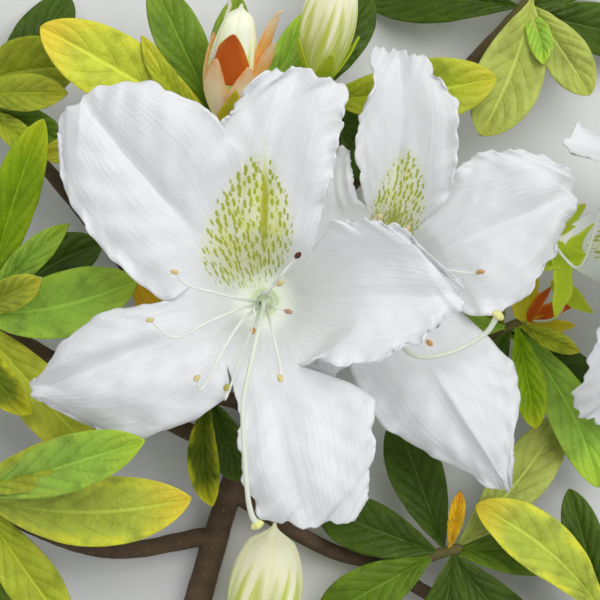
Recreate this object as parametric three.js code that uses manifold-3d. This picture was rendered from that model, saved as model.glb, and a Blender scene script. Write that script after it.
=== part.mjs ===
// A cut, flowering azalea branch that lies on the floor with its blooms up. Millimetres, +Z up.
// Places are measured from the floor under the middle of the view that looks down on the branch.
import * as THREE from "three";
import { mergeVertices } from "three/addons/utils/BufferGeometryUtils.js";
import Module from "manifold-3d";

const wasm = await Module();
wasm.setup();
const { clamp, degToRad, smoothstep } = THREE.MathUtils;

// Driving dimensions
const SHIFT = [1.9, 10.7, 0]; // the middle of the view in the part's frame
const GAP = 0.3; // between neighbouring pieces
const DETAIL = 0.1; // smaller steps of the surface are smoothed away
const PETAL_THICK = 0.7;
const TUBE_WALL = 0.9; // of a bloom's tube
const TUBE_FLOOR = 1.0;
const TUBE_BASE = 2.5; // inner radius at the bottom of the tube
const TUBE_LENGTH = 20;
const LEAF_THICK = 0.6;
const LEAF_FOLD = 0.22; // height of the edges over the midrib, of the half width
const LEAF_ARCH = 0.09; // of its length, at the middle
const PETIOLE = 0.55; // half width of a leaf's stalk
const STEM_CUT = 3.3; // radius of the main stem at the cut
const STEM_TOP = 1.9;
const BOUGH_ROOT = 1.9;
const BOUGH_END = 1.3;
const BOUGH_SHARE = 0.78; // of the way from its parent to the shoot's tip
const TWIG_END = 1.0;
const FILAMENT = 0.42;
const ANTHER = [0.8, 1.3];
const STYLE = 0.55;
const STIGMA = [1.2, 0.9];
const PEDICEL = 0.85; // radius of a bloom's stalk

// Each lobe of a bloom. turn: where its middle leaves the rim, in degrees. reach: its tip from the bloom's
// middle. bow: how far the tip drifts to the left. left, right: half widths at 1/4, 1/2, 3/4 and the tip.
// rise: the middle's height over the rim at the same places. lift: the left and right edges over the middle,
// half way and at the tip. back: how far the left and right edges trail the middle, at the root and the tip.
// seam: where the right edge leaves the rim, if that isn't half way to the lobe before.
const FRONT_LOBES = [
  { turn: 90, reach: 42, bow: -7, left: [10.5, 11, 10.2, 7.2], right: [10.5, 11.2, 10.2, 10],
    rise: [2.5, 5, 6, 5], lift: [[-1.6, 0], [1.5, 1]], back: [[0, 1], [2, 4]] },
  { turn: 134, reach: 49, bow: -2, left: [12.8, 14.6, 13.6, 8], right: [13.5, 16.4, 14.3, 9.8],
    rise: [4.3, 7.7, 9.1, 7.5], lift: [[-3, -4.5], [2.5, 2]], back: [[12, 0], [3, 4]] },
  { turn: 200, reach: 46, bow: 1, left: [14.1, 15.7, 14, 3.5], right: [6.5, 8.5, 7, 2],
    rise: [2.4, 2.8, 0, -5.5], lift: [[-4, -2], [-3, 0]], back: [[11, 2], [4, 2]] },
  { turn: 281, reach: 41.5, bow: 1, left: [15.3, 15, 12.6, 9.5], right: [8, 9.5, 10.3, 9.5],
    rise: [2.6, 5.4, 6, 4.5], lift: [[1, -0.5], [-3, -3.5]], back: [[1, 0], [2, 3]] },
  { turn: 4, seam: 300, reach: 36, bow: -1.5, left: [13.5, 13.5, 12.3, 6], right: [11, 12, 9.5, 5.7],
    rise: [5.4, 8.6, 10.4, 10], lift: [[3.6, 1], [0.8, 0]], back: [[5, 5], [11, 6]] },
];
const REAR_LOBES = [
  { turn: 80, reach: 42, bow: 4, left: [7, 8.3, 5.5, 5.6], right: [10.3, 10.4, 10.2, 5],
    rise: [4, 7, 9, 8], lift: [[5, 3], [2.8, 1]], back: [[3, 0], [3, 0]] },
  { turn: 122, reach: 25, bow: -6, left: [5, 5.5, 4.5, 2.5], right: [4, 3.5, 3, 1.5],
    rise: [3.6, 5.8, 7.3, 8], lift: [[0, 0], [0, 0]], back: [[-3, -1], [1, 1.5]] },
  { turn: 228, reach: 22, bow: 0, left: [6, 6, 5.5, 3.5], right: [6, 5.5, 4, 2.6],
    rise: [3.6, 5.6, 6.8, 7], lift: [[0, 0], [0, 0]], back: [[-1, 0], [3, 2]] },
  { turn: 300, seam: 240, reach: 47, bow: 1, left: [13, 12, 6.5, 0.7], right: [14, 13.4, 8, 2.2],
    rise: [5, 6.3, 5.5, 1], lift: [[-3, -0.5], [-6, -2]], back: [[-3.5, 1.5], [8, 1.5]] },
  { turn: 25, reach: 40, bow: -1, left: [12, 13.5, 11.5, 9], right: [13.5, 15, 11.8, 6],
    rise: [3, 4.6, 5.5, 4], lift: [[0, 1], [1.2, 0]], back: [[-1.5, 1.5], [8, 6]] },
];
const FAR_LOBE = { reach: 33, bow: 0, left: [9.7, 11, 10, 6.6], right: [9.7, 11, 10, 6.6],
  rise: [3.6, 6, 7.2, 7.5], lift: [[0.5, 1], [0.5, 1]], back: [[0, 3.5], [0, 3.5]] };
const SIDE_LOBES = [
  { turn: 90, reach: 19.5, bow: 5, left: [9, 10.5, 9, 4], right: [11, 11.5, 8, 2.6],
    rise: [0.4, -1.5, -6, -12.5], lift: [[6.4, 3], [-6.4, 0]], back: [[2, 3], [0, -5]] },
  { turn: 175, reach: 30, bow: 0, left: [11, 13, 11.7, 7.8], right: [11, 13, 11.7, 7.8],
    rise: [4, 7.3, 9.6, 11.3], lift: [[0.5, 1], [0.5, 1]], back: [[0, 3.5], [0, 3.5]] },
  { turn: 262, reach: 33, bow: 9, left: [11, 13.7, 13.4, 6.5], right: [12.7, 13, 11, 7.7],
    rise: [-1, -3, -6, -11], lift: [[1.7, 3], [-0.5, -3]], back: [[3, -1], [2, 1]] },
  { turn: 320, ...FAR_LOBE },
  { turn: 24, ...FAR_LOBE },
];

// Blooms: the middle and the radius of the rim, and the way that the bloom faces
const BLOOMS = {
  front: { at: [-6.7, -0.4, 50], axis: [0, 0, 1], rim: 13, lobes: FRONT_LOBES },
  rear: { at: [15.1, 4.2, 33], axis: [0, 0, 1], rim: 13, lobes: REAR_LOBES },
  side: { at: [64, 10.4, 34], axis: [0.866, 0, 0.5], rim: 11.5, lobes: SIDE_LOBES },
};

// Filaments: turn at the root, turn, reach and height of the elbow, turn and reach of the anther
const FILAMENTS = {
  front: [
    [172, 167, 14, 7, 161, 16.6], [196, 202, 17, 6.5, 189, 20.4], [222, 235, 19.2, 5.5, 229, 18],
    [248, 249, 18.6, 5, 247, 16.6], [212, 243, 4.2, -1, 250, 5.6], [290, 285, 12, 5, 283, 14],
    [100, 60, 3.2, 4, 47, 4.6], [60, 54, 8.5, 6.5, 53, 10.5], [335, 340, 3.6, 4.5, 340, 4.9],
  ],
  rear: [
    [20, 2, 17, 13, 3, 18], [290, 306, 13, 9, 306, 15], [60, 62, 8, 10, 62, 10],
    [215, 215, 9, 9, 215, 11], [110, 95, 8, 10, 92, 11],
  ],
  side: [[40, 45, 13, 10, 45, 15], [150, 120, 13, 10, 115, 15], [220, 225, 12, 9, 225, 14]],
};
// Styles: points from the middle of the bloom's rim
const STYLES = {
  front: [[-0.2, -1.8, -2], [-0.9, -5.4, 5], [-2.3, -12, 8.5], [-3.5, -19.2, 9.5], [-2.8, -32.6, 9],
    [-2.1, -37.6, 7.5], [-1, -39.9, 6.5]],
  rear: [[0.7, -4.2, 3], [4.7, -13.6, 10.5], [11.3, -14.3, 11], [18.6, -10.8, 10.8], [21.3, -7, 12.5]],
  side: [[0, 1, 4], [1, 3, 12], [1, 7, 20], [0, 10, 25]],
};
// Stalks of the blooms: the limb that each one meets, and its way there from the calyx
const STALKS = {
  front: ["main_stem", [[-6, -0.4, 19], [-4.6, -1, 13], [-2, -2.6, 8.1]]],
  rear: ["main_stem", [[13.5, 4.4, 6.2], [8, 3.2, 5.8], [0.3, 0.6, 8.6]]],
  side: ["right_twig", [[42.9, 8, 20.8], [43.2, 2, 17.6], [43.6, -4.6, 14.3]]],
};

// Limbs: each bough's parent, and its way from the parent to the tip of its shoot
const MAIN_STEM = [
  [-30, -108, 3.3], [-25, -80, 3.4], [-19, -55, 4], [-12, -32, 5.5], [-5, -12, 7], [1, 3, 9],
];
const BOUGHS = {
  upper: ["main_stem", [[0, 1, 8.7], [2, 14, 8.5], [3.5, 30, 12], [3, 40.7, 21]]],
  upper_left: ["main_stem", [[-4, -9, 7.4], [-9, 8, 9], [-13, 22, 13], [-15, 34, 23]]],
  upper_right: ["upper_bough", [[2.1, 14, 8.5], [14, 27, 6.5], [33, 46, 8], [47, 61, 17]]],
  right: ["main_stem", [[-2, -5, 8], [15, -9, 5.5], [32, -9, 7], [44, -4, 15]]],
  lower_right: ["main_stem", [[-14, -38, 5.2], [6, -50, 5], [20, -52, 7], [32, -48.5, 14]]],
  far_right: ["lower_right_bough", [[15, -52, 6], [32, -62, 5], [50, -66, 7], [62, -62, 16]]],
  lower: ["main_stem", [[-24.5, -78, 3.5], [-17, -80, 4], [-10, -77.5, 8]]],
  middle: ["main_stem", [[-8.5, -22, 6.3], [-13, -20, 8], [-18, -19, 15]]],
  lower_left: ["main_stem", [[-17, -47, 4.6], [-38, -50, 6], [-55, -44, 12], [-66, -36, 23]]],
  left: ["main_stem", [[-12, -31, 5.6], [-35, -20, 5.5], [-55, -8, 10], [-66.5, -1, 19]]],
  far_left: ["main_stem", [[-7, -18, 6.6], [-30, 2, 6.5], [-52, 28, 8], [-68, 44, 15]]],
};
const SIDE_BRANCH = 0.75; // thickness of a bough that leaves another bough, of one that leaves the stem

// Leaves of each shoot. seen: turn, length, lift of the tip over the base, width, bow to the left and roll in
// degrees. whorl: the leaves around them, the first one's turn and the step between them, with the height of
// their tips over the floor.
const SHOOTS = {
  upper_left: {
    seen: [[151, 39, 13, 15.5, 0, -5], [115, 32, 6, 11, 0, 8], [129, 24, 14, 5.5, 2, 20],
      [59, 30, -2, 7.5, -2, 0], [85, 29.5, 1, 9, 1, 0], [187, 36, -1, 9, 0, 0]],
    whorl: { count: 2, first: 213, step: 38, length: 28, height: 15, width: 12 },
  },
  upper: {
    seen: [[5.3, 34.7, 7, 14, -1.5, 0], [82, 34, -6, 9, 0, 0]],
    whorl: { count: 4, first: 261, step: 54, length: 22, height: 14, width: 11 },
  },
  upper_right: {
    seen: [[249, 29.5, 7, 15, 1.2, 0], [303, 22, 3, 10.5, 0, 0], [284, 12.5, 10, 5.5, 1, 10]],
    whorl: { count: 5, first: 350, step: 46, length: 29, height: 1, width: 12 },
  },
  right: {
    seen: [[279, 20.5, 7, 7.5, 0, 0], [298, 36, 1, 11, 2, 0], [176, 16, 4, 6.5, 0, 0],
      [112, 10, 2, 7, 1, 0], [352, 13, 3, 6, 0, 0], [335, 12.5, 10, 4.5, 0, 10]],
    whorl: { count: 2, first: 241, step: 80, length: 29, height: 1, width: 12 },
  },
  lower_right: {
    seen: [[50, 34, -5, 12, -1, 0], [83, 12.5, 10, 3.6, 0, 0]],
    whorl: { count: 6, first: 110, step: 50, length: 28, height: 6, width: 12.5 },
  },
  far_right: {
    seen: [[139, 35, 6, 13, -2.5, 15], [105, 27, 2, 9, 0, 0]],
    whorl: { count: 5, first: 232, step: 42, length: 27, height: 1, width: 12 },
  },
  lower: { seen: [], whorl: { count: 3, first: 274, step: 44, length: 28, height: 1, width: 11 } },
  middle: {
    seen: [[272.5, 20.5, 11, 7, -1.6, 0], [289, 17.5, -2, 9, 0, 0], [117, 31, 18, 10, 0, 0]],
    whorl: { count: 1, first: 175, step: 40, length: 19, height: 19, width: 11 },
  },
  lower_left: {
    seen: [[20, 32, 27, 10, 0, -10], [19, 38, 35, 12, 0, -8], [1.9, 43.1, 21, 15, -2.5, -5],
      [306, 31, 4, 12, 0, 0]],
    whorl: { count: 4, first: 147, step: 43, length: 31, height: 1, width: 12 },
  },
  left: {
    seen: [[10, 35, 21, 14.5, -2.5, -8], [23, 17, 23, 7.5, 0, 10], [42, 26, 19, 6.5, 0.5, 0],
      [70.4, 40.3, 17, 10.5, 0.5, 0], [35, 27, -4, 12, 2, 0], [312, 40, 3, 13, 0, 0],
      [304, 23, 12, 8, -2.5, 0]],
    whorl: { count: 2, first: 165, step: 50, length: 30, height: 1, width: 12 },
  },
  far_left: {
    seen: [[8, 23, 8, 15, 1, 0], [357, 20, 15, 8.5, 0, 0], [333, 20.5, 6, 8, 0, 0],
      [319, 16.5, 12, 6, 0, 0]],
    whorl: { count: 4, first: 59, step: 46, length: 28, height: 1, width: 12 },
  },
};

// Buds: the base, the tip, the greatest radius, how far up it lies, and the shoot that bears the bud
const BUDS = {
  orange_bud: { at: [-14.4, 34.6, 26], tip: [-10.8, 54.6, 43], radius: 5.3, peak: 0.45, shoot: "upper_left" },
  white_bud: { at: [3.5, 42, 24], tip: [7.3, 63, 45], radius: 5.6, peak: 0.5, shoot: "upper" },
  lower_bud: { at: [-9.2, -74, 11], tip: [-4.9, -43.5, 17], radius: 8, peak: 0.55, shoot: "lower" },
};

const WOOD = new THREE.MeshStandardMaterial({ color: 0x7a5a44, roughness: 0.85, metalness: 0 });
const LEAF = new THREE.MeshStandardMaterial({ color: 0x6f8f3a, roughness: 0.5, metalness: 0 });
const CALYX = new THREE.MeshStandardMaterial({ color: 0x8fae4a, roughness: 0.6, metalness: 0 });
const PETAL = new THREE.MeshStandardMaterial({ color: 0xf2f3f2, roughness: 0.6, metalness: 0 });
const STAMEN = new THREE.MeshStandardMaterial({ color: 0xe8e0bc, roughness: 0.6, metalness: 0 });
const PISTIL = new THREE.MeshStandardMaterial({ color: 0xdfe6b4, roughness: 0.5, metalness: 0 });
const BUD = new THREE.MeshStandardMaterial({ color: 0xe9e4c8, roughness: 0.6, metalness: 0 });

const vector = ([x, y, z]) => new THREE.Vector3(x, y, z);
const smoothCurve = (points) => new THREE.CatmullRomCurve3(points, false, "catmullrom");
const join = (solids) => solids.reduce((a, b) => a.add(b));

function polar(turn, reach, height) {
  return new THREE.Vector3(reach * Math.cos(degToRad(turn)), reach * Math.sin(degToRad(turn)), height);
}

// A frame at a place, with its z along dir and its x level
function frame(at, dir) {
  const z = dir.clone().normalize();
  const x = new THREE.Vector3(0, 1, 0).cross(z).normalize();
  return new THREE.Matrix4().makeBasis(x, z.clone().cross(x), z).setPosition(at);
}

// A closed solid from a geometry, with each of its points moved
function solid(geometry, move = (p) => p) {
  const position = geometry.getAttribute("position");
  const p = new THREE.Vector3();
  for (let i = 0; i < position.count; i++) {
    const q = move(p.fromBufferAttribute(position, i));
    position.setXYZ(i, q.x, q.y, q.z);
  }
  geometry.deleteAttribute("normal");
  geometry.deleteAttribute("uv");
  const merged = mergeVertices(geometry, 1e-4);
  return new wasm.Manifold(new wasm.Mesh({
    numProp: 3,
    vertProperties: merged.attributes.position.array,
    triVerts: new Uint32Array(merged.index.array),
  }));
}

// A thick sheet under a grid of points, whose rows run outwards and columns anticlockwise
function sheet(grid, thick) {
  const rows = grid.length - 1;
  const cols = grid[0].length - 1;
  const at = (i, j) => grid[clamp(i, 0, rows)][clamp(j, 0, cols)].clone();
  return solid(new THREE.BoxGeometry(cols, rows, 1, cols, rows, 1), (p) => {
    const i = Math.round(p.y + rows / 2);
    const j = Math.round(cols / 2 - p.x);
    if (p.z > 0) return at(i, j);
    const out = at(i + 1, j).sub(at(i - 1, j));
    const side = at(i, j + 1).sub(at(i, j - 1));
    return at(i, j).addScaledVector(out.cross(side).normalize(), -thick);
  });
}

// A round, tapering limb along a curve, between two shares of its length
function limb(curve, [root, end], sides, steps, from = 0, to = 1) {
  const segments = 60;
  const { normals } = curve.computeFrenetFrames(segments);
  return solid(new THREE.CylinderGeometry(end, root, 1, sides, steps), (p) => {
    const share = clamp(from + (to - from) * (p.y + 0.5), 0, 1);
    const dir = curve.getTangentAt(share);
    const side = normals[Math.round(share * segments)].clone();
    side.addScaledVector(dir, -side.dot(dir)).normalize();
    const other = side.clone().cross(dir);
    return curve.getPointAt(share).addScaledVector(side, p.x).addScaledVector(other, p.z);
  });
}

// A piece turned on the z axis, from the radii and heights of its profile
function turned(profile, sides) {
  const points = profile.map(([radius, height]) => new THREE.Vector2(radius, height));
  return solid(new THREE.LatheGeometry(points, sides).rotateX(Math.PI / 2));
}

function ball(at, [radius, half], dir) {
  const sphere = new THREE.SphereGeometry(1, 5, 3).scale(radius, half, radius).rotateX(Math.PI / 2);
  return solid(sphere.applyMatrix4(frame(at, dir)));
}

// Radius and height of the inside of a bloom's tube, from its floor (q = 0) to its rim (q = 1)
function flare(rim, q) {
  return [TUBE_BASE + (rim - TUBE_BASE) * (0.35 * q + 0.65 * q ** 2), -TUBE_LENGTH * (1 - q)];
}

function wave(x, y, phase) {
  return Math.sin(0.55 * x + 0.31 * y + phase) + 0.7 * Math.sin(-0.33 * x + 0.62 * y + 1.7 * phase + 1)
    + 0.5 * Math.sin(1.1 * x - 0.9 * y + 2.3 * phase);
}

// The turn at which a lobe and the next one leave the rim
function seamTurn(lobe, next) {
  return next.seam ?? lobe.turn + ((next.turn - lobe.turn + 360) % 360) / 2;
}

// One lobe as a surface: s runs from the rim (0) to the tip (1), t from the right edge (-1) to the left (+1)
function lobeSurface(lobes, n, rim) {
  const { turn, reach, bow, left, right, rise, lift, back } = lobes[n];
  const before = lobes[(n + lobes.length - 1) % lobes.length];
  const after = lobes[(n + 1) % lobes.length];
  const toLeft = (seamTurn(lobes[n], after) - turn + 360) % 360;
  const toRight = (turn - seamTurn(before, lobes[n]) + 360) % 360;
  const out = polar(turn, 1, 0);
  const aside = polar(turn + 90, 1, 0);
  const onTube = (deg, q) => polar(deg, ...flare(rim, q));
  const guide = (deg, halfWidths, [mid, tip], [rootBack, tipBack]) => {
    const points = [onTube(deg, 0.75), onTube(deg, 1)];
    halfWidths.forEach((halfWidth, i) => {
      const share = (i + 1) / 4;
      const lifted = 4 * share * (1 - share) * mid + share * (2 * share - 1) * tip;
      const trail = rootBack * (1 - share) + tipBack * share;
      const point = new THREE.Vector3(0, 0, rise[i] + lifted);
      point.addScaledVector(out, rim + (reach - rim) * share - trail);
      points.push(point.addScaledVector(aside, bow * share ** 2 + halfWidth));
    });
    return smoothCurve(points);
  };
  const turns = [turn + toLeft, turn, turn - toRight];
  const guides = [
    guide(turns[0], left, lift[0], back[0]),
    guide(turns[1], [0, 0, 0, 0], [0, 0], [0, 0]),
    guide(turns[2], right.map((width) => -width), lift[1], back[1]),
  ];
  const blend = (t, [l, m, r]) => new THREE.Vector3().addScaledVector(l, (t * (t + 1)) / 2)
    .addScaledVector(m, 1 - t * t).addScaledVector(r, (t * (t - 1)) / 2);
  return (s, t) => {
    const rimTurn = turn + t * (t > 0 ? toLeft : toRight);
    if (s < 0) return onTube(rimTurn, 1 + s);
    const p = blend(t, guides.map((curve) => curve.getPoint((1 + 4 * s) / 5)));
    const round = onTube(rimTurn, 1).sub(blend(t, turns.map((deg) => onTube(deg, 1))));
    p.addScaledVector(round, Math.max(0, 1 - 4 * s));
    const groove = 0.45 - 0.9 * Math.exp(-((t / 0.2) ** 2));
    const ruffle = 0.55 * Math.max(Math.abs(t), s) ** 4 * wave(p.x, p.y, turn);
    p.z += smoothstep(s, 0, 0.3) * (groove + ruffle);
    return p;
  };
}

// The petals of a bloom: a flared tube and its lobes, with the rim's middle at the origin
function corolla({ rim, lobes }) {
  const rings = 4;
  const inner = [];
  const outer = [];
  for (let i = 0; i <= rings; i++) {
    const [r, z] = flare(rim, i / rings);
    const [r2, z2] = flare(rim, i / rings + 0.01);
    const normal = new THREE.Vector2(z2 - z, r - r2).normalize();
    inner.unshift([r, z]);
    outer.push([r + normal.x * TUBE_WALL, z + normal.y * TUBE_WALL]);
  }
  const bottom = -TUBE_LENGTH - TUBE_FLOOR;
  outer[0][1] = bottom;
  const parts = [turned([[0, bottom], ...outer, ...inner, [0, -TUBE_LENGTH]], 16)];
  const rows = [-0.12, 0, 0.2, 0.4, 0.6, 0.8, 1];
  lobes.forEach((lobe, n) => {
    const surface = lobeSurface(lobes, n, rim);
    const grid = rows.map((s) => [-1, -0.5, 0, 0.5, 1].map((t) => {
      const sunk = 0.12 * Math.max(0, 1 - Math.max(0, s) / 0.15);
      const p = surface(s, t * (s <= 0 ? 1.02 : 1));
      p.z -= sunk;
      return p;
    }));
    parts.push(sheet(grid, PETAL_THICK));
  });
  return join(parts);
}

// A calyx of five sepals under a bloom's tube, on a stalk that runs to its shoot
function calyx(place, stalk) {
  const top = -TUBE_LENGTH - TUBE_FLOOR - GAP;
  const parts = [turned([[0, top - 3.5], [0.9, top - 3.5], [2.2, top - 2], [3, top], [0, top]], 7)];
  for (let n = 0; n < 5; n++) {
    const turn = 72 * n + 20;
    const grid = [0, 1].map((s) => [-1, 0, 1].map((t) => {
      const p = polar(turn, 2.3 + 4.1 * s, top - 1 - 0.4 * s + 0.3 * t * t);
      return p.addScaledVector(polar(turn + 90, 1, 0), t * (1.4 - 0.9 * s));
    }));
    parts.push(sheet(grid, 0.6));
  }
  const start = new THREE.Vector3(0, 0, top - 3).applyMatrix4(place);
  const stem = limb(smoothCurve([start, ...stalk.map(vector)]), [PEDICEL, PEDICEL], 5, 5);
  return join(parts).transform(place.elements).add(stem);
}

function stamens(list, tilt) {
  const floor = -TUBE_LENGTH + GAP;
  const ring = [[1.05, floor], [2.1, floor], [2.1, floor + 1], [1.05, floor + 1], [1.05, floor]];
  const parts = [turned(ring, 8)];
  for (const [root, turn, reach, height, last, end] of list) {
    const anther = polar(last, end, height + 1.3);
    const path = smoothCurve([
      polar(root, 1.6, floor + 0.5), polar(root, 1.6, floor + 9),
      polar(root, 1.5 + 0.22 * (reach - 1.5), -1 + 0.2 * height),
      polar((root + 2 * turn) / 3, 0.62 * reach, 0.8 * height), polar(turn, reach, height), anther,
    ]);
    parts.push(limb(path, [FILAMENT, 0.75 * FILAMENT], 3, 7), ball(anther, ANTHER, tilt));
  }
  return join(parts);
}

function pistil(style) {
  const floor = -TUBE_LENGTH + GAP;
  const points = [[0, 0, floor], [0, 0, floor + 8], [0, 0, floor + 13], ...style].map(vector);
  const [tip, before] = [points.at(-1), points.at(-2)];
  const stem = limb(smoothCurve(points), [STYLE, STYLE], 4, 2 * points.length - 3);
  return stem.add(ball(tip, STIGMA, tip.clone().sub(before)));
}

// The upper face of a leaf, from its base: turn, length, lift, width, bow and roll as in SHOOTS
function leafGrid(base, [turn, length, lift, width, bow, roll], rows, thick) {
  const level = polar(turn + 90, 1, 0);
  const tip = polar(turn, length, lift).add(base);
  const middle = base.clone().lerp(tip, 0.5).addScaledVector(level, 2 * bow);
  middle.z += 2 * LEAF_ARCH * length;
  const midrib = new THREE.QuadraticBezierCurve3(base, middle, tip);
  const grid = [];
  for (let i = 0; i <= rows; i++) {
    const s = i / rows;
    const dir = midrib.getTangent(s);
    const angle = degToRad(roll) * smoothstep(s, 0, 0.4);
    const across = level.clone().addScaledVector(dir, -level.dot(dir)).normalize();
    const up = dir.clone().cross(across).applyAxisAngle(dir, angle);
    across.applyAxisAngle(dir, angle);
    const blade = (width / 2) * 2.87 * s ** 1.1 * (1 - s) ** 0.65;
    const half = Math.max(i === rows ? 0.2 : PETIOLE, blade);
    grid.push([-1, 0, 1].map((t) => midrib.getPoint(s).addScaledVector(across, t * half)
      .addScaledVector(up, Math.abs(t) * half * LEAF_FOLD + thick / 2)));
  }
  return grid;
}

const leaf = (base, spec, thick = LEAF_THICK) => sheet(leafGrid(base, spec, 3, thick), thick);

// A bud with three bracts that clasp its lower half
function bud({ at, tip, radius, peak }) {
  const axis = vector(tip).sub(vector(at));
  const length = axis.length();
  const swell = (s) => 0.8 + (radius - 0.8) * Math.max(0, s) ** 0.85;
  const profile = [[0, 0]];
  for (let i = 0; i < 6; i++) {
    const s = i / 6;
    const turn = s < peak ? s / peak - 1 : (s - peak) / (1 - peak);
    profile.push([swell(Math.cos((Math.PI / 2) * turn)), s * length]);
  }
  profile.push([0.3, length], [0, length]);
  const parts = [turned(profile, 9)];
  for (let n = 0; n < 3; n++) {
    const grid = [0, 1, 2, 3].map((i) => [1, 0, -1].map((t) => {
      const s = 0.05 + 0.18 * i;
      const r = swell(Math.sin((Math.PI / 2) * Math.min(1, s / peak))) + 0.25 + 0.16 * i;
      const half = 43 * (1 - (i / 3) ** 2) + 5;
      return polar(120 * n + 40 + t * half, r, s * length);
    }));
    parts.push(sheet(grid, 1.8));
  }
  return join(parts).transform(frame(vector(at), axis).elements);
}

const branch = new THREE.Group();
const pieces = {}; // every solid, in the branch's frame

// Adds a piece to the branch; a pocket that its joined parts seal off is filled
function keep(name, body, material, parent = branch) {
  const shells = body.simplify(DETAIL).decompose();
  const whole = wasm.Manifold.compose(shells.filter((shell) => shell.volume() > 0));
  const mesh = whole.getMesh();
  const geometry = new THREE.BufferGeometry();
  geometry.setAttribute("position", new THREE.BufferAttribute(mesh.vertProperties, mesh.numProp));
  geometry.setIndex(new THREE.BufferAttribute(mesh.triVerts, 1));
  geometry.computeVertexNormals();
  const piece = new THREE.Mesh(geometry, material.clone());
  piece.name = name;
  parent.add(piece);
  pieces[name] = parent === branch ? whole : whole.transform(parent.matrix.elements);
}

// Limbs: each bough's root is cut to the round of its parent, a gap away
const room = {}; // each limb with a gap around it
const stemCurve = smoothCurve(MAIN_STEM.map(vector));
keep("main_stem", limb(stemCurve, [STEM_CUT, STEM_TOP], 8, 10), WOOD);
room.main_stem = limb(stemCurve, [STEM_CUT + GAP, STEM_TOP + GAP], 16, 32);
const curves = {};
const twigs = {};
for (const [name, [parent, path]] of Object.entries(BOUGHS)) {
  const curve = smoothCurve(path.map(vector));
  const root = BOUGH_ROOT * (parent === "main_stem" ? 1 : SIDE_BRANCH);
  const grown = [root + GAP, BOUGH_END + GAP];
  room[name + "_bough"] = limb(curve, grown, 12, 16, 0, BOUGH_SHARE);
  keep(name + "_bough", limb(curve, [root, BOUGH_END], 6, 6, 0, BOUGH_SHARE).subtract(room[parent]), WOOD);
  const from = BOUGH_SHARE + (GAP + 0.05) / curve.getLength();
  const tipRoom = [TWIG_END + 2 * GAP, TWIG_END + 2 * GAP];
  curves[name] = curve;
  twigs[name] = limb(curve, [BOUGH_END, TWIG_END], 5, 2, from);
  room[name + "_twig"] = limb(curve, [BOUGH_END + GAP + 0.1, TWIG_END + GAP + 0.1], 10, 8, from)
    .add(ball(curve.getPoint(1), tipRoom, new THREE.Vector3(0, 0, 1)));
}

// Blooms: corolla, calyx with its stalk, stamens and pistil
for (const [name, bloom] of Object.entries(BLOOMS)) {
  const place = frame(vector(bloom.at), vector(bloom.axis));
  const head = new THREE.Group();
  head.applyMatrix4(place);
  branch.add(head);
  const [limbName, stalk] = STALKS[name];
  const tilt = new THREE.Vector3(0.3, 0.8, 0.5);
  keep(name + "_corolla", corolla(bloom), PETAL, head);
  keep(name + "_calyx", calyx(place, stalk).subtract(room[limbName]), CALYX);
  keep(name + "_stamens", stamens(FILAMENTS[name], tilt), STAMEN, head);
  keep(name + "_pistil", pistil(STYLES[name]), PISTIL, head);
}

// Buds, each on a short stalk at the tip of its shoot
for (const [name, shape] of Object.entries(BUDS)) {
  const [base, seat] = [vector(shape.at).lerp(vector(shape.tip), 0.04), curves[shape.shoot].getPoint(1)];
  const stalk = limb(smoothCurve([base, seat]), [PEDICEL, PEDICEL], 5, 1);
  keep(name, bud(shape).add(stalk).subtract(room[shape.shoot + "_twig"]), BUD);
}

// Masses of leaves: one twig and its leaves each; a leaf that would touch another piece is left out
for (const [name, { seen, whorl }] of Object.entries(SHOOTS)) {
  const { count, first, step, length, height, width } = whorl;
  const baseOf = (n) => curves[name].getPointAt(0.96 - 0.02 * (n % 5));
  const leaves = [...seen];
  for (let n = 0; n < count; n++) {
    const lift = height - baseOf(leaves.length).z;
    leaves.push([first + step * n, length * (1 + 0.07 * Math.sin(5 * n)), lift, width, Math.sin(3 * n), 0]);
  }
  const parts = [twigs[name]];
  leaves.forEach((spec, n) => {
    const [turn, reach, lift, wide, ...rest] = spec;
    const around = leaf(baseOf(n), [turn, reach, lift, wide + 2 * GAP, ...rest], LEAF_THICK + 2 * GAP);
    const touches = Object.values(pieces).some((body) => around.intersect(body).volume() > 1e-6);
    if (!touches) parts.push(leaf(baseOf(n), spec));
  });
  keep(name + "_leaves", join(parts), LEAF);
}

const group = new THREE.Group();
branch.position.set(...SHIFT);
group.add(branch);

export default group;
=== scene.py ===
# A cut, flowering azalea branch that lies on a pale floor with its blooms up
# Shapes are worked out in millimetres, in the branch's own frame, and meshes are made in metres
import math

import bmesh
import bpy
import numpy as np
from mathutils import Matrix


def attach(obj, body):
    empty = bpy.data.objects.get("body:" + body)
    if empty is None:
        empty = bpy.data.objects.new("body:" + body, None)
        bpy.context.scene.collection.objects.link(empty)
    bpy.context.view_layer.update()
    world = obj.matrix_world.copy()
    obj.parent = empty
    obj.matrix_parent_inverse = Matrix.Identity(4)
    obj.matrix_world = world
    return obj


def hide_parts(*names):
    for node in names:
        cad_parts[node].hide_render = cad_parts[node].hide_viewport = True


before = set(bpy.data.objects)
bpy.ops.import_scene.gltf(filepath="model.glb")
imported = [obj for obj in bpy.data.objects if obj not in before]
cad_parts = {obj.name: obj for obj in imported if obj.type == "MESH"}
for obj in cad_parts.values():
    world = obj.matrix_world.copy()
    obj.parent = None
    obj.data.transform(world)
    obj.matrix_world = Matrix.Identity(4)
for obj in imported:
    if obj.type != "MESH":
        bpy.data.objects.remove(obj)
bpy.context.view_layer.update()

# Driving dimensions, in millimetres unless a comment says otherwise. Round parts are given as radii.
MM = 0.001  # in metres
SHIFT = np.array([1.9, 10.7, 0.0])  # the middle of the view in the part's frame
PETAL_THICK = 0.35
TUBE_BASE = 2.5  # inner radius at the bottom of a bloom's tube
TUBE_LENGTH = 20.0
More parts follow.
